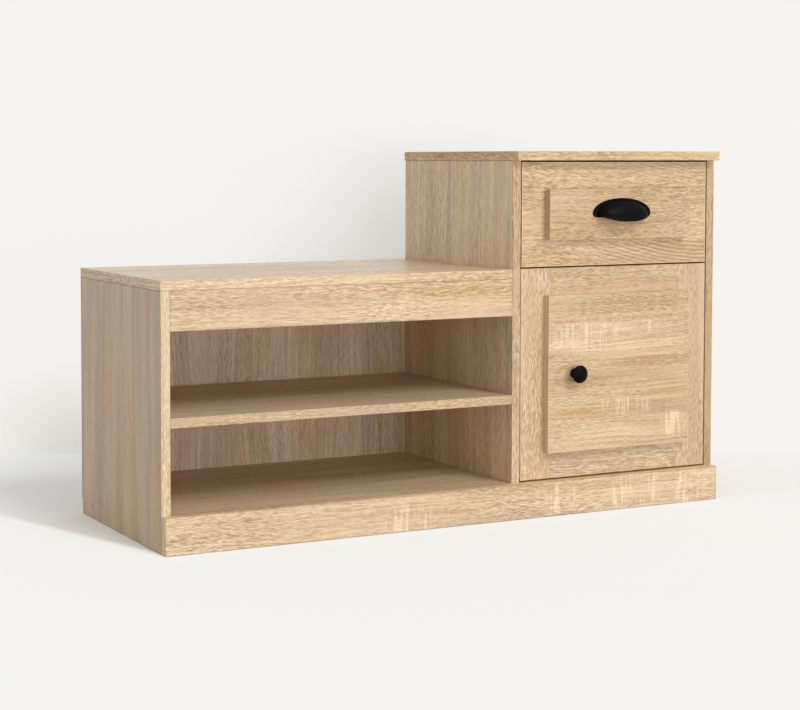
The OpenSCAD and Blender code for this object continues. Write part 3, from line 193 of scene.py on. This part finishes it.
def grain_group():
    """Colour, roughness and height of oak laminate at (along, across) in metres."""
    tree = bpy.data.node_groups.new("oak grain", "ShaderNodeTree")
    g = Graph(tree)
    for name in ("Along", "Across", "Seed", *AMOUNTS):
        tree.interface.new_socket(name, in_out="INPUT", socket_type="NodeSocketFloat")
    tree.interface.new_socket("Color", in_out="OUTPUT", socket_type="NodeSocketColor")
    tree.interface.new_socket("Roughness", in_out="OUTPUT", socket_type="NodeSocketFloat")
    tree.interface.new_socket("Height", in_out="OUTPUT", socket_type="NodeSocketFloat")
    i = g.node("NodeGroupInput").outputs
    seed, u, v = i["Seed"], i["Along"], i["Across"]

    def field(along, across, layer, v=v, **settings):
        """Noise of so many cells to the metre along and across the grain, in its own layer."""
        return g.noise(g.xyz(g.mul(u, along), g.mul(v, across), g.add(seed, layer)), **settings)

    # The grain wanders slowly over the board and ripples every few centimetres
    slow = g.sub(field(2.2, 6.0, 0.0), 0.5)
    wave = g.sub(field(10.0, 13.0, 5.7), 0.5)
    short = g.sub(field(56.0, 75.0, 3.1, detail=1.0), 0.5)
    bent = g.add(v, g.add(g.mul(slow, 0.040), g.mul(short, 0.0045)))
    wavy = g.add(bent, g.mul(wave, 0.017))

    # Broad tones along the grain
    broad = field(1.7, 24.0, 11.0, bent, detail=4.0, rough=0.60)
    color = g.mix(g.mul(g.ramp(broad, 0.30, 0.70), i["Bands"]), TAN, PALE)
    tone = field(1.9, 14.0, 23.0, bent)
    cold = field(2.4, 32.0, 37.0, bent)
    color = g.mix(g.mul(i["Pale"], g.ramp(cold, 0.62, 0.38, 0.3, 1.0)), color, SAWN_AND_HIGHLIGHT)
    color = g.mix(g.mul(i["Deep"], g.ramp(cold, 0.38, 0.62, 0.3, 1.0)), color, DEEP)
    color = g.mix(g.mul(g.ramp(tone, 0.50, 0.68), i["Gold"]), color, GOLD)
    color = g.mix(g.mul(g.ramp(tone, 0.50, 0.32), i["Pink"]), color, PINK)
    color = g.mix(g.mul(g.ramp(cold, 0.52, 0.70), i["Grey"]), color, GREY)

    # Cathedral lines: they fall towards the place Arc and run level beyond it
    fall = g.math("SMOOTH_MAX", g.sub(i["Arc"], u), 0.0, LINE_TURN)
    level = g.sub(g.add(v, g.mul(wave, 0.012)), g.mul(fall, LINE_FALL))
    lines = g.math("SINE", g.mul(level, math.tau / LINE_PITCH))
    lines = g.mul(g.ramp(lines, g.lerp(broad, -0.9, 0.5), 0.9), i["Figure"])
    color = g.mix(lines, color, DEEP)

    # Long thin lines that follow the grain from end to end
    thread = field(4.5, 250.0, 45.0, g.add(v, g.mul(slow, 0.050)), detail=3.0, rough=0.65)
    color = g.mix(g.mul(g.ramp(thread, 0.50, 0.64), g.mul(i["Lines"], 0.55)), color, DEEP)
    color = g.mix(g.mul(g.ramp(thread, 0.46, 0.34), g.mul(i["Lines"], 0.45)), color, SAWN_AND_HIGHLIGHT)

    # Short wavy streaks, dark and pale, over longer and softer ones, strong in some places and
    # faint in others
    power = g.mul(g.ramp(field(4.0, 13.0, 43.0, bent), 0.36, 0.62, 0.45, 1.0), i["Streaks"])
    power = g.mul(power, g.sub(1.0, g.mul(i["Figure"], 0.6)))
    long = field(13.0, 170.0, 47.0, bent, detail=3.0, rough=0.65)
    color = g.mix(g.mul(g.ramp(long, 0.48, 0.70), g.mul(power, 0.35)), color, DEEP)
    grain = field(80.0, 780.0, 53.0, wavy, rough=0.60)
    dark = g.ramp(grain, 0.50, 0.64)
    pale = g.ramp(grain, 0.50, 0.36)
    color = g.mix(g.mul(dark, g.mul(power, 0.58)), color, PORE)
    color = g.mix(g.mul(pale, g.mul(power, 0.60)), color, SAWN_AND_HIGHLIGHT)

    # Pores
    fine = field(110.0, 1400.0, 67.0, bent, detail=1.0)
    pore = g.ramp(fine, 0.56, 0.70)
    color = g.mix(g.mul(pore, g.mul(power, 0.45)), color, PORE)

    # Pale saw marks across the grain, in groups
    marks = field(120.0, 11.0, 71.0, detail=1.0)
    close = field(330.0, 16.0, 73.0)
    weave = field(24.0, 300.0, 79.0, bent)
    mark = g.add(g.ramp(marks, 0.52, 0.62), g.ramp(close, 0.50, 0.66, 0.0, 0.5))
    mark = g.mul(g.math("MINIMUM", mark, 1.0), g.ramp(weave, 0.34, 0.54, 0.4, 1.0))
    color = g.mix(g.mul(g.mul(mark, 0.90), i["Sawn"]), color, SAWN_AND_HIGHLIGHT)

    # A reddish tone over all of it
    color = g.mix(i["Red"], color, RED)

    out = g.node("NodeGroupOutput")
    g.put(out.inputs["Color"], color)
    g.put(out.inputs["Roughness"], g.add(0.46, g.add(g.mul(pore, 0.14), g.mul(dark, 0.06))))
    g.put(out.inputs["Height"], g.sub(g.mul(grain, -0.4), g.mul(pore, 0.6)))
    return tree


GRAIN = grain_group()
# How far apart the seeds lie in the noise, and how far an edge band's grain is from the face's
SEED_STEP, BAND_AWAY = 9.7, 0.37
# A surface begins to count as facing an axis where its normal has the first share along it, and
# counts in full from the second
FACING = 0.6, 0.8
# A seam, dark or a pale painted highlight, is at full strength up to the first distance from the
# board's edge, and ends at the second
SEAM_FULL, SEAM_END = 0.5 * MM, 2.0 * MM


def patch(g, u, v, cloud, middle_u, middle_v, half_u, half_v):
    """One inside a patch on the board and nought outside, with a soft edge that the cloud makes
    ragged. The patch is an oval with fuller ends across the grain."""
    du = g.math("POWER", g.size(g.mul(g.sub(u, middle_u), 1 / half_u)), 2.0)
    dv = g.math("POWER", g.size(g.mul(g.sub(v, middle_v), 1 / half_v)), 3.0)
    return g.ramp(g.add(g.add(du, dv), g.mul(cloud, 1.2)), 1.7, 0.7)


def seam_mask(g, p, lo, hi, axes):
    """One at the edges of a board's faces and nought a little further in."""
    inward = [g.sub((hi[k] - lo[k]) / 2, g.size(g.sub(p[k], (lo[k] + hi[k]) / 2))) for k in axes]
    return g.ramp(g.math("MINIMUM", *inward), SEAM_END, SEAM_FULL)


def oak(name, along, thick, seed, box=None, tint=(1, 1, 1), edge=(1.10, 1.06, 0.98), spots=(),
        seam=0.5, band=1.0, gloss=0.0, **amounts):
    """Oak laminate on a board whose grain runs along one axis and whose faces look along thick.
    The spots raise amounts of the grain in patches of the board's faces, edge tints the edge band
    and band sets its streaks. The seam darkens the faces at the edges of the box, or, if it is
    below nought, pales them as a painted highlight."""
    mat, g, shader = new_material(name)
    coord = g.node("ShaderNodeTexCoord")
    p = g.split(coord.outputs["Object"])
    n = g.split(coord.outputs["Normal"])
    a, t = "XYZ".index(along), "XYZ".index(thick)
    c = 3 - a - t
    on_face = g.ramp(g.size(n[t]), *FACING)
    on_end = g.ramp(g.size(n[a]), *FACING)

    values = {**AMOUNTS, **{key.capitalize(): value for key, value in amounts.items()}}
    if spots:
        lo, hi = box
        size_a, size_c = hi[a] - lo[a], hi[c] - lo[c]
        cloud = g.noise(g.xyz(g.mul(p[a], 9.0), g.mul(p[c], 70.0), seed))
        for key, middle_a, middle_c, half_a, half_c, strength in spots:
            soft = patch(g, p[a], p[c], cloud, lo[a] + middle_a * size_a,
                         lo[c] + middle_c * size_c, half_a * size_a, half_c * size_c)
            values[key] = g.add(values[key], g.mul(g.mul(soft, strength), on_face))
    values["Streaks"] = g.lerp(on_face, band, values["Streaks"])
    # An edge band is cut along its own length
    values["Along"] = g.lerp(on_end, p[a], p[c])
    values["Across"] = g.lerp(on_face, g.add(p[t], BAND_AWAY), p[c])
    values["Seed"] = seed * SEED_STEP
    grain = g.node("ShaderNodeGroup", node_tree=GRAIN)
    for key, value in values.items():
        g.put(grain.inputs[key], value)

    color = g.tinted(grain.outputs["Color"], (*tint, 1.0))
    color = g.mix(g.sub(1.0, on_face), color, g.tinted(color, (*edge, 1.0)))
    if box:
        # Above nought the seam darkens the face's edges; below nought it is a painted highlight, a
        # pale line along them
        seam_and_highlight_rim = g.mul(g.mul(seam_mask(g, p, *box, (a, c)), on_face), abs(seam))
        color = g.mix(seam_and_highlight_rim, color, g.tinted(color, PORE) if seam > 0 else SAWN_AND_HIGHLIGHT)
    g.put(shader.inputs["Base Color"], color)
    g.put(shader.inputs["Roughness"], g.sub(grain.outputs["Roughness"], gloss))
    shader.inputs["Specular IOR Level"].default_value = 0.4 + 4 * gloss
    bump(g, shader, grain.outputs["Height"], 0.3 * MM, 0.5)
    return mat


# For each board the axis of its grain, the axis that its faces look along, the seed of its grain,
# and its looks. A spot names the amount that it raises, its middle along and across the grain and
# its half sizes, all as shares of the board, and how much it adds.
BOARDS = {
    "left_side_panel": ("Z", "X", 3.0, dict(
        tint=(0.955, 1.00, 1.09), edge=(1.20, 1.20, 1.12),
        grey=0.5, gold=0.6, pink=0.6, deep=0.4, lines=0.3, streaks=0.45)),
    "divider_panel": ("Z", "X", 5.5, dict(
        tint=(1.09, 1.14, 1.24), edge=(0.82, 0.77, 0.70), band=1.2, grey=0.5, streaks=0.7)),
    "right_side_panel": ("Z", "X", 8.2, dict(edge=(0.77, 0.73, 0.70), grey=0.4)),
    # The bench top's tint is its tone and partly a painted sheen, lighter and greyer, on top of
    # its real gloss
    "bench_top": ("X", "Z", 12.4, dict(
        tint=(1.08, 1.12, 1.23), edge=(1.02, 0.98, 0.85), gloss=0.12,
        bands=1.7, grey=0.6, pink=0.5, deep=0.8, lines=1.0, gold=0.5, streaks=1.2, spots=[
            ("Deep", 0.40, 0.48, 0.45, 0.035, 2.0),
            ("Deep", 0.75, 0.20, 0.40, 0.035, 1.6),
            ("Deep", 0.25, 0.72, 0.35, 0.040, 1.8),
            ("Deep", 0.10, 0.28, 0.30, 0.030, 1.8),
            ("Pink", 0.45, 0.60, 0.50, 0.060, 1.6),
            ("Pale", 0.30, 0.38, 0.50, 0.040, 0.9)])),
    "bench_apron": ("X", "Y", 17.9, dict(
        seam=0.3, pink=0.6, gold=0.2, spots=[
            ("Grey", 0.10, 0.60, 0.22, 0.60, 0.5),
            ("Gold", 0.85, 0.50, 0.22, 0.60, 0.6)])),
    "bench_rear_rail": ("X", "Y", 19.0, {}),
    "middle_shelf": ("X", "Z", 23.3, dict(
        tint=(0.95, 1.01, 1.12), edge=(0.98, 0.92, 0.79), streaks=0.7, deep=0.3)),
    "bench_bottom_panel": ("X", "Z", 27.1, dict(
        tint=(0.94, 0.99, 1.08), streaks=0.7, deep=0.3)),
    "cabinet_top": ("X", "Z", 31.6, dict(edge=(1.06, 1.00, 0.90), gold=0.5)),
    "cabinet_partition": ("X", "Z", 33.0, {}),
    "cabinet_bottom_panel": ("X", "Z", 34.0, {}),
    "plinth_board": ("X", "Y", 38.8, dict(
        pink=0.6, lines=0.9, spots=[
            ("Sawn", 0.42, 0.30, 0.08, 0.50, 0.7),
            ("Sawn", 0.68, 0.50, 0.04, 0.50, 0.8),
            ("Sawn", 0.83, 0.50, 0.06, 0.70, 1.0),
            ("Sawn", 0.94, 0.50, 0.03, 0.60, 0.9),
            ("Deep", 0.70, 0.90, 0.25, 0.30, 0.6),
            ("Gold", 0.88, 0.10, 0.12, 0.20, 0.8)])),
    "bench_rear_plinth": ("X", "Y", 41.0, {}),
    "cabinet_rear_plinth": ("X", "Y", 42.0, {}),
    "bench_back_panel": ("Z", "Y", 45.7, dict(
        tint=(0.96, 1.00, 1.11), grey=0.5, lines=1.0, streaks=0.7, pink=0.6, deep=0.4, spots=[
            ("Red", 0.72, 0.72, 0.22, 0.10, 0.3)])),
    "cabinet_back_panel": ("Z", "Y", 47.9, dict(grey=0.5)),
    "drawer_front": ("X", "Y", 52.2, dict(
        tint=(0.96, 0.93, 0.88), seam=-0.5, gold=0.5, lines=0.9, arc=0.44, spots=[
            ("Figure", 0.75, 0.12, 0.48, 0.16, 1.0),
            ("Figure", 0.85, 0.95, 0.40, 0.12, 0.5),
            ("Gold", 0.30, 0.12, 0.30, 0.10, 0.5),
            ("Pale", 0.30, 0.04, 0.35, 0.08, 0.6)])),
    "drawer_raised_panel": ("X", "Y", 57.5, dict(
        tint=(0.88, 0.84, 0.80), edge=(0.90, 0.97, 1.02), seam=-0.2, band=0.4,
        gold=0.4, pink=0.5, deep=0.2, spots=[
            ("Grey", 0.85, 0.60, 0.25, 0.50, 0.5),
            ("Pale", 0.15, 0.90, 0.25, 0.15, 0.6)])),
    "drawer_left_side": ("Y", "X", 60.0, dict(grey=0.2)),
    "drawer_right_side": ("Y", "X", 61.0, dict(grey=0.2)),
    "drawer_back": ("X", "Y", 62.0, dict(grey=0.2)),
    "drawer_bottom": ("X", "Z", 63.0, dict(grey=0.5)),
    "door_hinge_stile": ("Z", "Y", 66.6, dict(tint=(0.92, 0.92, 0.92), seam=0.1, pink=0.7)),
    "door_free_stile": ("Z", "Y", 69.4, dict(seam=0.1, pink=0.9, gold=0.2)),
    "door_top_rail": ("X", "Y", 72.1, dict(tint=(0.92, 0.88, 0.83), seam=0.1, gold=0.5)),
    "door_bottom_rail": ("X", "Y", 75.3, dict(tint=(0.93, 0.95, 0.96), seam=0.1, pink=0.6)),
    "door_raised_panel": ("X", "Y", 79.8, dict(
        tint=(0.955, 0.925, 0.885), edge=(0.95, 1.02, 1.10), seam=-0.2, band=0.4,
        bands=0.6, gold=0.15, grey=0.2, lines=0.9, streaks=0.9, spots=[
            ("Sawn", 0.28, 0.73, 0.26, 0.110, 1.0),
            ("Sawn", 0.68, 0.78, 0.14, 0.050, 0.7),
            ("Sawn", 0.55, 0.27, 0.22, 0.070, 0.9),
            ("Sawn", 0.90, 0.13, 0.12, 0.100, 1.0),
            ("Pale", 0.25, 0.72, 0.45, 0.120, 0.9),
            ("Pale", 0.75, 0.68, 0.40, 0.100, 0.5),
            ("Pale", 0.30, 0.08, 0.50, 0.100, 0.5),
            ("Deep", 0.75, 0.55, 0.45, 0.040, 1.0),
            ("Deep", 0.45, 0.44, 0.60, 0.050, 0.9),
            ("Deep", 0.60, 0.92, 0.60, 0.060, 0.5),
            ("Deep", 0.70, 0.22, 0.40, 0.050, 0.5),
            ("Gold", 0.15, 0.23, 0.34, 0.045, 1.2),
            ("Gold", 0.75, 0.33, 0.40, 0.045, 1.1),
            ("Gold", 0.10, 0.36, 0.30, 0.030, 0.6),
            ("Grey", 0.92, 0.84, 0.18, 0.030, 1.0),
            ("Grey", 0.85, 0.27, 0.20, 0.040, 0.4)])),
}


def dress(node, mat):
    NODES[node].material_slots[0].material = mat


for node, (along, thick, seed, looks) in BOARDS.items():
    dress(node, oak(node + " oak", along, thick, seed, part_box(node), **looks))


# ------------------------------------------------------ handles and hardware


def metal(name, base, rough, metallic=1.0, grain=(900.0, 900.0, 60.0), depth=0.04 * MM,
          spread=0.10, edge=None, specular=0.5):
    """Metal with brushed or cast grain and small changes of gloss. With an edge colour, a painted
    highlight lightens it towards that colour at its outer edges."""
    mat, g, shader = new_material(name)
    p = g.split(g.node("ShaderNodeTexCoord").outputs["Object"])
    fine = g.noise(g.cells(p, *grain), 3.0)
    cloud = g.noise(g.cells(p, *[45.0] * 3))
    color = g.mix(g.ramp(cloud, 0.35, 0.7), base, share_of(base, 0.82))
    if edge:
        # Painted highlight: the outer edges are lightened towards the edge colour
        painted_edge_highlight = g.node("ShaderNodeNewGeometry").outputs["Pointiness"]
        color = g.mix(g.mul(g.ramp(painted_edge_highlight, 0.53, 0.60), 0.35), color, edge)
    g.put(shader.inputs["Base Color"], color)
    shader.inputs["Metallic"].default_value = metallic
    shader.inputs["Specular IOR Level"].default_value = specular
    g.put(shader.inputs["Roughness"], g.add(rough - spread / 2, g.mul(fine, spread)))
    bump(g, shader, fine, depth, 0.6)
    return mat


def plastic(name, base, rough):
    """Moulded plastic with a fine grain."""
    mat, g, shader = new_material(name)
    p = g.split(g.node("ShaderNodeTexCoord").outputs["Object"])
    fine = g.noise(g.cells(p, *[1400.0] * 3))
    cloud = g.noise(g.cells(p, *[30.0] * 3))
    g.put(shader.inputs["Base Color"], g.mix(g.ramp(cloud, 0.3, 0.7), base, share_of(base, 0.9)))
    g.put(shader.inputs["Roughness"], g.add(rough, g.mul(fine, 0.12)))
    bump(g, shader, fine, 0.03 * MM, 0.5)
    return mat


HARDWARE = (
    (oak("dowel birch", "Y", "Z", 90.0, tint=(1.1, 1.06, 0.98), grey=0.0, gold=0.2),
     ("dowels", "drawer_dowels", "door_frame_dowels")),
    (metal("zinc plate", srgb(190, 193, 197), 0.34),
     ("cam_bolts", "cam_discs", "shelf_pins", "back_nails", "hinge_arm_screws",
      "carcass_hardware_screws", "drawer_panel_screws", "cup_pull_screws", "drawer_rail_screws",
      "door_panel_screws", "knob_screw", "hinge_pins", "door_hardware_screws",
      "catch_striker")),
    (metal("nickel plate", srgb(205, 206, 208), 0.24, grain=(300.0,) * 3),
     ("hinge_cups", "hinge_arms", "hinge_plates")),
    (metal("black coat", srgb(7, 7, 8), 0.42, metallic=0.0, grain=(1500.0,) * 3,
           depth=0.03 * MM, spread=0.14, edge=srgb(26, 26, 27), specular=0.06),
     ("cup_pull", "door_knob")),
    (metal("white coat", srgb(228, 228, 224), 0.42, metallic=0.0, grain=(1200.0,) * 3),
     ("cabinet_rail_left", "cabinet_rail_right", "drawer_rail_left", "drawer_rail_right")),
    (plastic("roller plastic", srgb(214, 214, 208), 0.38),
     ("cabinet_roller_left", "cabinet_roller_right", "drawer_roller_left",
      "drawer_roller_right")),
    (plastic("catch plastic", srgb(233, 230, 222), 0.42),
     ("catch_housing",)),
)

for mat, names in HARDWARE:
    for name in names:
        dress(name, mat)


# ------------------------------------------------------------- rounded edges

# The door's boards are rounded less, so that the joints between them stay thin lines
DOOR_EDGE, BOARD_EDGE = 0.25 * MM, 0.6 * MM
# Thin boards are left square
SQUARE_BOARDS = ("bench_back_panel", "cabinet_back_panel", "drawer_bottom")
# A vertex this near to a side of the board's box is on it, and vertices this near to each other
# are one
ON_SIDE, SAME_PLACE = 0.02 * MM, 0.002 * MM


def soften(node, width):
    """Rounds the outer edges of a board, as edge banding and pressing leave them."""
    o = NODES[node]
    mesh = o.data
    mesh.polygons.foreach_set("use_smooth", [True] * len(mesh.polygons))
    lo = [min(v.co[k] for v in mesh.vertices) for k in range(3)]
    hi = [max(v.co[k] for v in mesh.vertices) for k in range(3)]
    corners = [
        v.index for v in mesh.vertices
        if sum(min(v.co[k] - lo[k], hi[k] - v.co[k]) < ON_SIDE for k in range(3)) >= 2
    ]
    o.vertex_groups.new(name="outer").add(corners, 1.0, "REPLACE")
    weld = o.modifiers.new("weld", "WELD")
    weld.merge_threshold = SAME_PLACE
    flat = o.modifiers.new("flat", "DECIMATE")
    flat.decimate_type = "DISSOLVE"
    flat.angle_limit = math.radians(0.5)
    bevel = o.modifiers.new("soft edge", "BEVEL")
    bevel.width = width
    bevel.segments = 2
    bevel.limit_method = "VGROUP"
    bevel.vertex_group = "outer"
    bevel.use_clamp_overlap = False
    normals = o.modifiers.new("normals", "WEIGHTED_NORMAL")
    normals.keep_sharp = False


for node in BOARDS:
    if node not in SQUARE_BOARDS:
        soften(node, DOOR_EDGE if node.startswith("door_") else BOARD_EDGE)


# ---------------------------------------------------------- camera and light

scene = bpy.context.scene
scene.view_settings.view_transform = "Standard"

EYE = Vector((-1.4689, -2.6112, 0.5863))
YAW, PITCH = math.radians(26.497), math.radians(-2.930)

camera = bpy.data.objects.new("camera", bpy.data.cameras.new("camera"))
scene.collection.objects.link(camera)
scene.camera = camera
camera.data.sensor_width = 36
camera.data.lens = 80.34
camera.data.shift_x = 0.10
camera.data.shift_y = -0.13
camera.location = EYE
camera.rotation_euler = (math.pi / 2 + PITCH, 0, -YAW)

# Levels of the light on a surface that faces it: a soft key from above on the right, an even sky,
# what the floor throws back, and a low card far in front, which reaches into the compartments
KEY, SKY, BOUNCE, CARD = 0.36, 0.55, 0.50, 0.28
TURN, RISE = math.radians(18), math.radians(42)
TO_KEY = Vector((math.sin(TURN) * math.cos(RISE), -math.cos(TURN) * math.cos(RISE),
                 math.sin(RISE)))
CARD_PLACE, CARD_SIZE = Vector((0.3, -4.0, 0.38)), (3.6, 0.6)
CARD_AWAY = cad_lo.y - CARD_PLACE.y


def lamp(name, kind, place, toward):
    light = bpy.data.lights.new(name, kind)
    obj = bpy.data.objects.new(name, light)
    scene.collection.objects.link(obj)
    obj.location = place
    obj.rotation_euler = toward.to_track_quat("-Z", "Y").to_euler()
    obj.visible_camera = False
    return light


key = lamp("key", "SUN", TO_KEY * 4, -TO_KEY)
key.energy = KEY * math.pi
key.angle = math.radians(24)
card = lamp("card", "AREA", CARD_PLACE, Vector((0, 1, 0)))
card.shape = "RECTANGLE"
card.size, card.size_y = CARD_SIZE
card.energy = CARD * (math.pi * CARD_AWAY) ** 2


def seen_rays(g):
    """One for the rays that show the backdrop as such, nought for the rays that light things."""
    path = g.node("ShaderNodeLightPath").outputs
    seen = g.math("MAXIMUM", path["Is Camera Ray"], path["Is Glossy Ray"])
    return g.math("MAXIMUM", seen, path["Is Transmission Ray"])


PAPER = srgb(244, 243, 239)

world = bpy.data.worlds.new("studio")
scene.world = world
world.use_nodes = True
world.node_tree.nodes.clear()
studio = Graph(world.node_tree)
sky = studio.fill(studio.node("ShaderNodeBackground"), (1.0, 1.0, 1.0, 1.0), SKY)
pale = studio.fill(studio.node("ShaderNodeBackground"), PAPER, 1.0)
around = studio.blend(seen_rays(studio), sky, pale)
studio.put(studio.node("ShaderNodeOutputWorld").inputs[0], around)


# -------------------------------------------------------- floor and backdrop

# The backdrop faces the camera and stands a little behind the object's furthest corner. It takes
# the shadow, and beside the foot of the bench a painted shade too: it gives the object and the
# floor neither light nor shade.
VIEW = Vector((math.sin(YAW), math.cos(YAW), 0))
BEHIND = 0.14
START = VIEW.x * cad_hi.x + VIEW.y * cad_hi.y + BEHIND
WIDE, HIGH = 14.0, 9.0

# The part of the paper's tone that takes no shadow: on the floor in front of the object, and on
# the backdrop away from its two dark places. It grows to the whole tone between two distances from
# the object's middle.
KEPT_FLOOR, KEPT_WALL, KEPT_ALL = 0.80, 0.92, (0.80, 1.35)
# How far a dark place reaches: beside the cabinet over the seat, and beside the foot of the bench
REACH_HIGH, REACH_LOW = 0.44, 0.32
# Upwards the same distance counts for so much more
UPWARD = 1.5
# Painted shade: the tone is dimmer beside the foot of the bench, where floor and backdrop run into
# each other
PAINTED_SHADE_FLOOR, PAINTED_SHADE_WALL = 0.85, 0.95
# The wood throws a little warm light on the paper, which the paper's own tone evens out: to one
# share on the floor, and on the backdrop in full up to the first distance from the cabinet's dark
# place and not at all beyond the second
EVEN_TONE, EVEN_FLOOR, EVEN_WALL = (0.985, 1.035, 1.09, 1.0), 0.30, (0.1, 0.8)
# How much of the card's light reaches a backdrop that faces it
CARD_ON_WALL = 0.35


def beside(node, height):
    """The place on the backdrop that the camera sees next to a side panel's left face."""
    lo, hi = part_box(node)
    ray = Vector((lo[0], hi[1], height)) - EYE
    return EYE + ray * ((START - VIEW.dot(EYE)) / VIEW.dot(ray))


OVER_SEAT, BY_BENCH = beside("divider_panel", 0.45), beside("left_side_panel", 0.10)


def away_from(g, p, place):
    """How far a point of the paper is from a dark place on the backdrop."""
    return g.measure("DISTANCE", g.xyz(p[0], p[1], g.mul(p[2], UPWARD)),
                     (place.x, place.y, place.z * UPWARD))


def far_off(g, p):
    """Nought near the object and one far from it, where the paper takes no shadow at all."""
    return g.ramp(g.measure("LENGTH", g.xyz(*p)), *KEPT_ALL)


def kept_on_floor(g, p):
    """The floor takes shadow behind the front, and behind the line along which the key light
    passes the front corner on the left."""
    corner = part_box("plinth_board")[0]
    across = Vector((-math.cos(TURN), -math.sin(TURN)))
    past = g.add(g.mul(p[0], across.x), g.mul(p[1], across.y))
    past = g.sub(past, across.x * corner[0] + across.y * corner[1])
    front = g.math("MAXIMUM", past, g.sub(corner[1], p[1]))
    return g.math("MAXIMUM", g.ramp(front, -20 * MM, 5 * MM, 0.0, KEPT_FLOOR), far_off(g, p))


def kept_on_wall(g, p):
    """The backdrop takes shadow next to the tall cabinet and next to the foot of the bench."""
    high = g.ramp(away_from(g, p, OVER_SEAT), 0.0, REACH_HIGH, 0.0, KEPT_WALL)
    low = g.ramp(away_from(g, p, BY_BENCH), 0.0, REACH_LOW, 0.0, KEPT_WALL)
    return g.math("MAXIMUM", g.math("MINIMUM", high, low), far_off(g, p))


def light_level(g, p, normal):
    """The light that the paper gets where nothing shades it."""
    _, ny, nz = g.split(normal)
    lit = g.math("MAXIMUM", g.measure("DOT_PRODUCT", normal, TO_KEY), 0.0)
    level = g.add(g.mul(lit, KEY), g.add((SKY + BOUNCE) / 2, g.mul(nz, (SKY - BOUNCE) / 2)))
    facing = g.math("MAXIMUM", g.mul(ny, -1.0), 0.0)
    level = g.add(level, g.mul(facing, CARD * CARD_ON_WALL))
    # The card's light on the floor falls off as the third power of the distance from it
    near_card = g.math("MAXIMUM", g.sub(p[1], CARD_PLACE.y), 1.0)
    slant = g.mul(g.math("POWER", near_card, -3.0), CARD * CARD_PLACE.z * CARD_AWAY ** 2)
    return g.add(level, g.mul(slant, g.math("MAXIMUM", nz, 0.0)))


def paper(name, kept_on, wall=False):
    """Matt paper that shows as PAPER wherever nothing shades it, whichever way it faces, but for a
    painted shade beside the foot of the bench.
    As a wall it isn't there from behind."""
    mat, g, shader = new_material(name)
    geometry = g.node("ShaderNodeNewGeometry").outputs
    p = g.split(g.node("ShaderNodeTexCoord").outputs["Object"])
    level = light_level(g, p, geometry["Normal"])
    specks = g.noise(g.cells(p, *[260.0] * 3))
    tone = g.mix(specks, share_of(PAPER, 0.997), share_of(PAPER, 1.003))
    even = g.ramp(away_from(g, p, OVER_SEAT), *EVEN_WALL, 1.0, 0.0) if wall else EVEN_FLOOR
    # Painted shade: near the foot of the bench the tone is dimmed, on the floor and on the
    # backdrop alike
    painted_shade = g.ramp(away_from(g, p, BY_BENCH), 0.0, REACH_LOW, PAINTED_SHADE_WALL if wall else PAINTED_SHADE_FLOOR, 1.0)
    scale = g.node("ShaderNodeVectorMath", operation="SCALE")
    g.put(scale.inputs["Scale"], g.math("DIVIDE", painted_shade, level))
    scaled = g.fill(scale, g.tinted(tone, g.mix(even, (1.0,) * 4, EVEN_TONE)))
    g.put(shader.inputs["Base Color"], scaled)
    shader.inputs["Roughness"].default_value = 1.0
    shader.inputs["Specular IOR Level"].default_value = 0.0
    glow = g.fill(g.node("ShaderNodeEmission"), tone)
    shown = g.blend(kept_on(g, p), shader.outputs[0], glow)
    # For the rays that light the object, the paper is the grey that throws BOUNCE back
    grey = BOUNCE / (KEY * TO_KEY.z + SKY)
    plain = g.fill(g.node("ShaderNodeBsdfDiffuse"), (grey, grey, grey, 1.0))
    surface = g.blend(seen_rays(g), plain, shown)
    if wall:
        clear = g.node("ShaderNodeBsdfTransparent").outputs[0]
        surface = g.blend(geometry["Backfacing"], surface, clear)
    out = next(n for n in g.tree.nodes if n.type == "OUTPUT_MATERIAL")
    g.put(out.inputs[0], surface)
    return mat


def sheet(name, near, far, mat, ahead=Vector((0, 1, 0))):
    """A flat sheet from a near edge to a far one, each given as (ahead, up) and WIDE to either
    side."""
    aside = ahead.cross(Vector((0, 0, 1)))
    corners = [ahead * y + aside * x + Vector((0, 0, z))
               for (y, z), x in ((near, -WIDE), (near, WIDE), (far, WIDE), (far, -WIDE))]
    mesh = bpy.data.meshes.new(name)
    mesh.from_pydata(corners, [], [(0, 1, 2, 3)])
    mesh.materials.append(mat)
    obj = bpy.data.objects.new(name, mesh)
    scene.collection.objects.link(obj)
    return obj


sheet("floor", (-WIDE, 0), (WIDE, 0), paper("floor paper", kept_on_floor))
wall = sheet("backdrop", (START, 0), (START, HIGH), paper("backdrop paper", kept_on_wall, True),
             VIEW)
wall.visible_shadow = False
wall.visible_diffuse = False
wall.visible_glossy = False
wall.visible_transmission = False
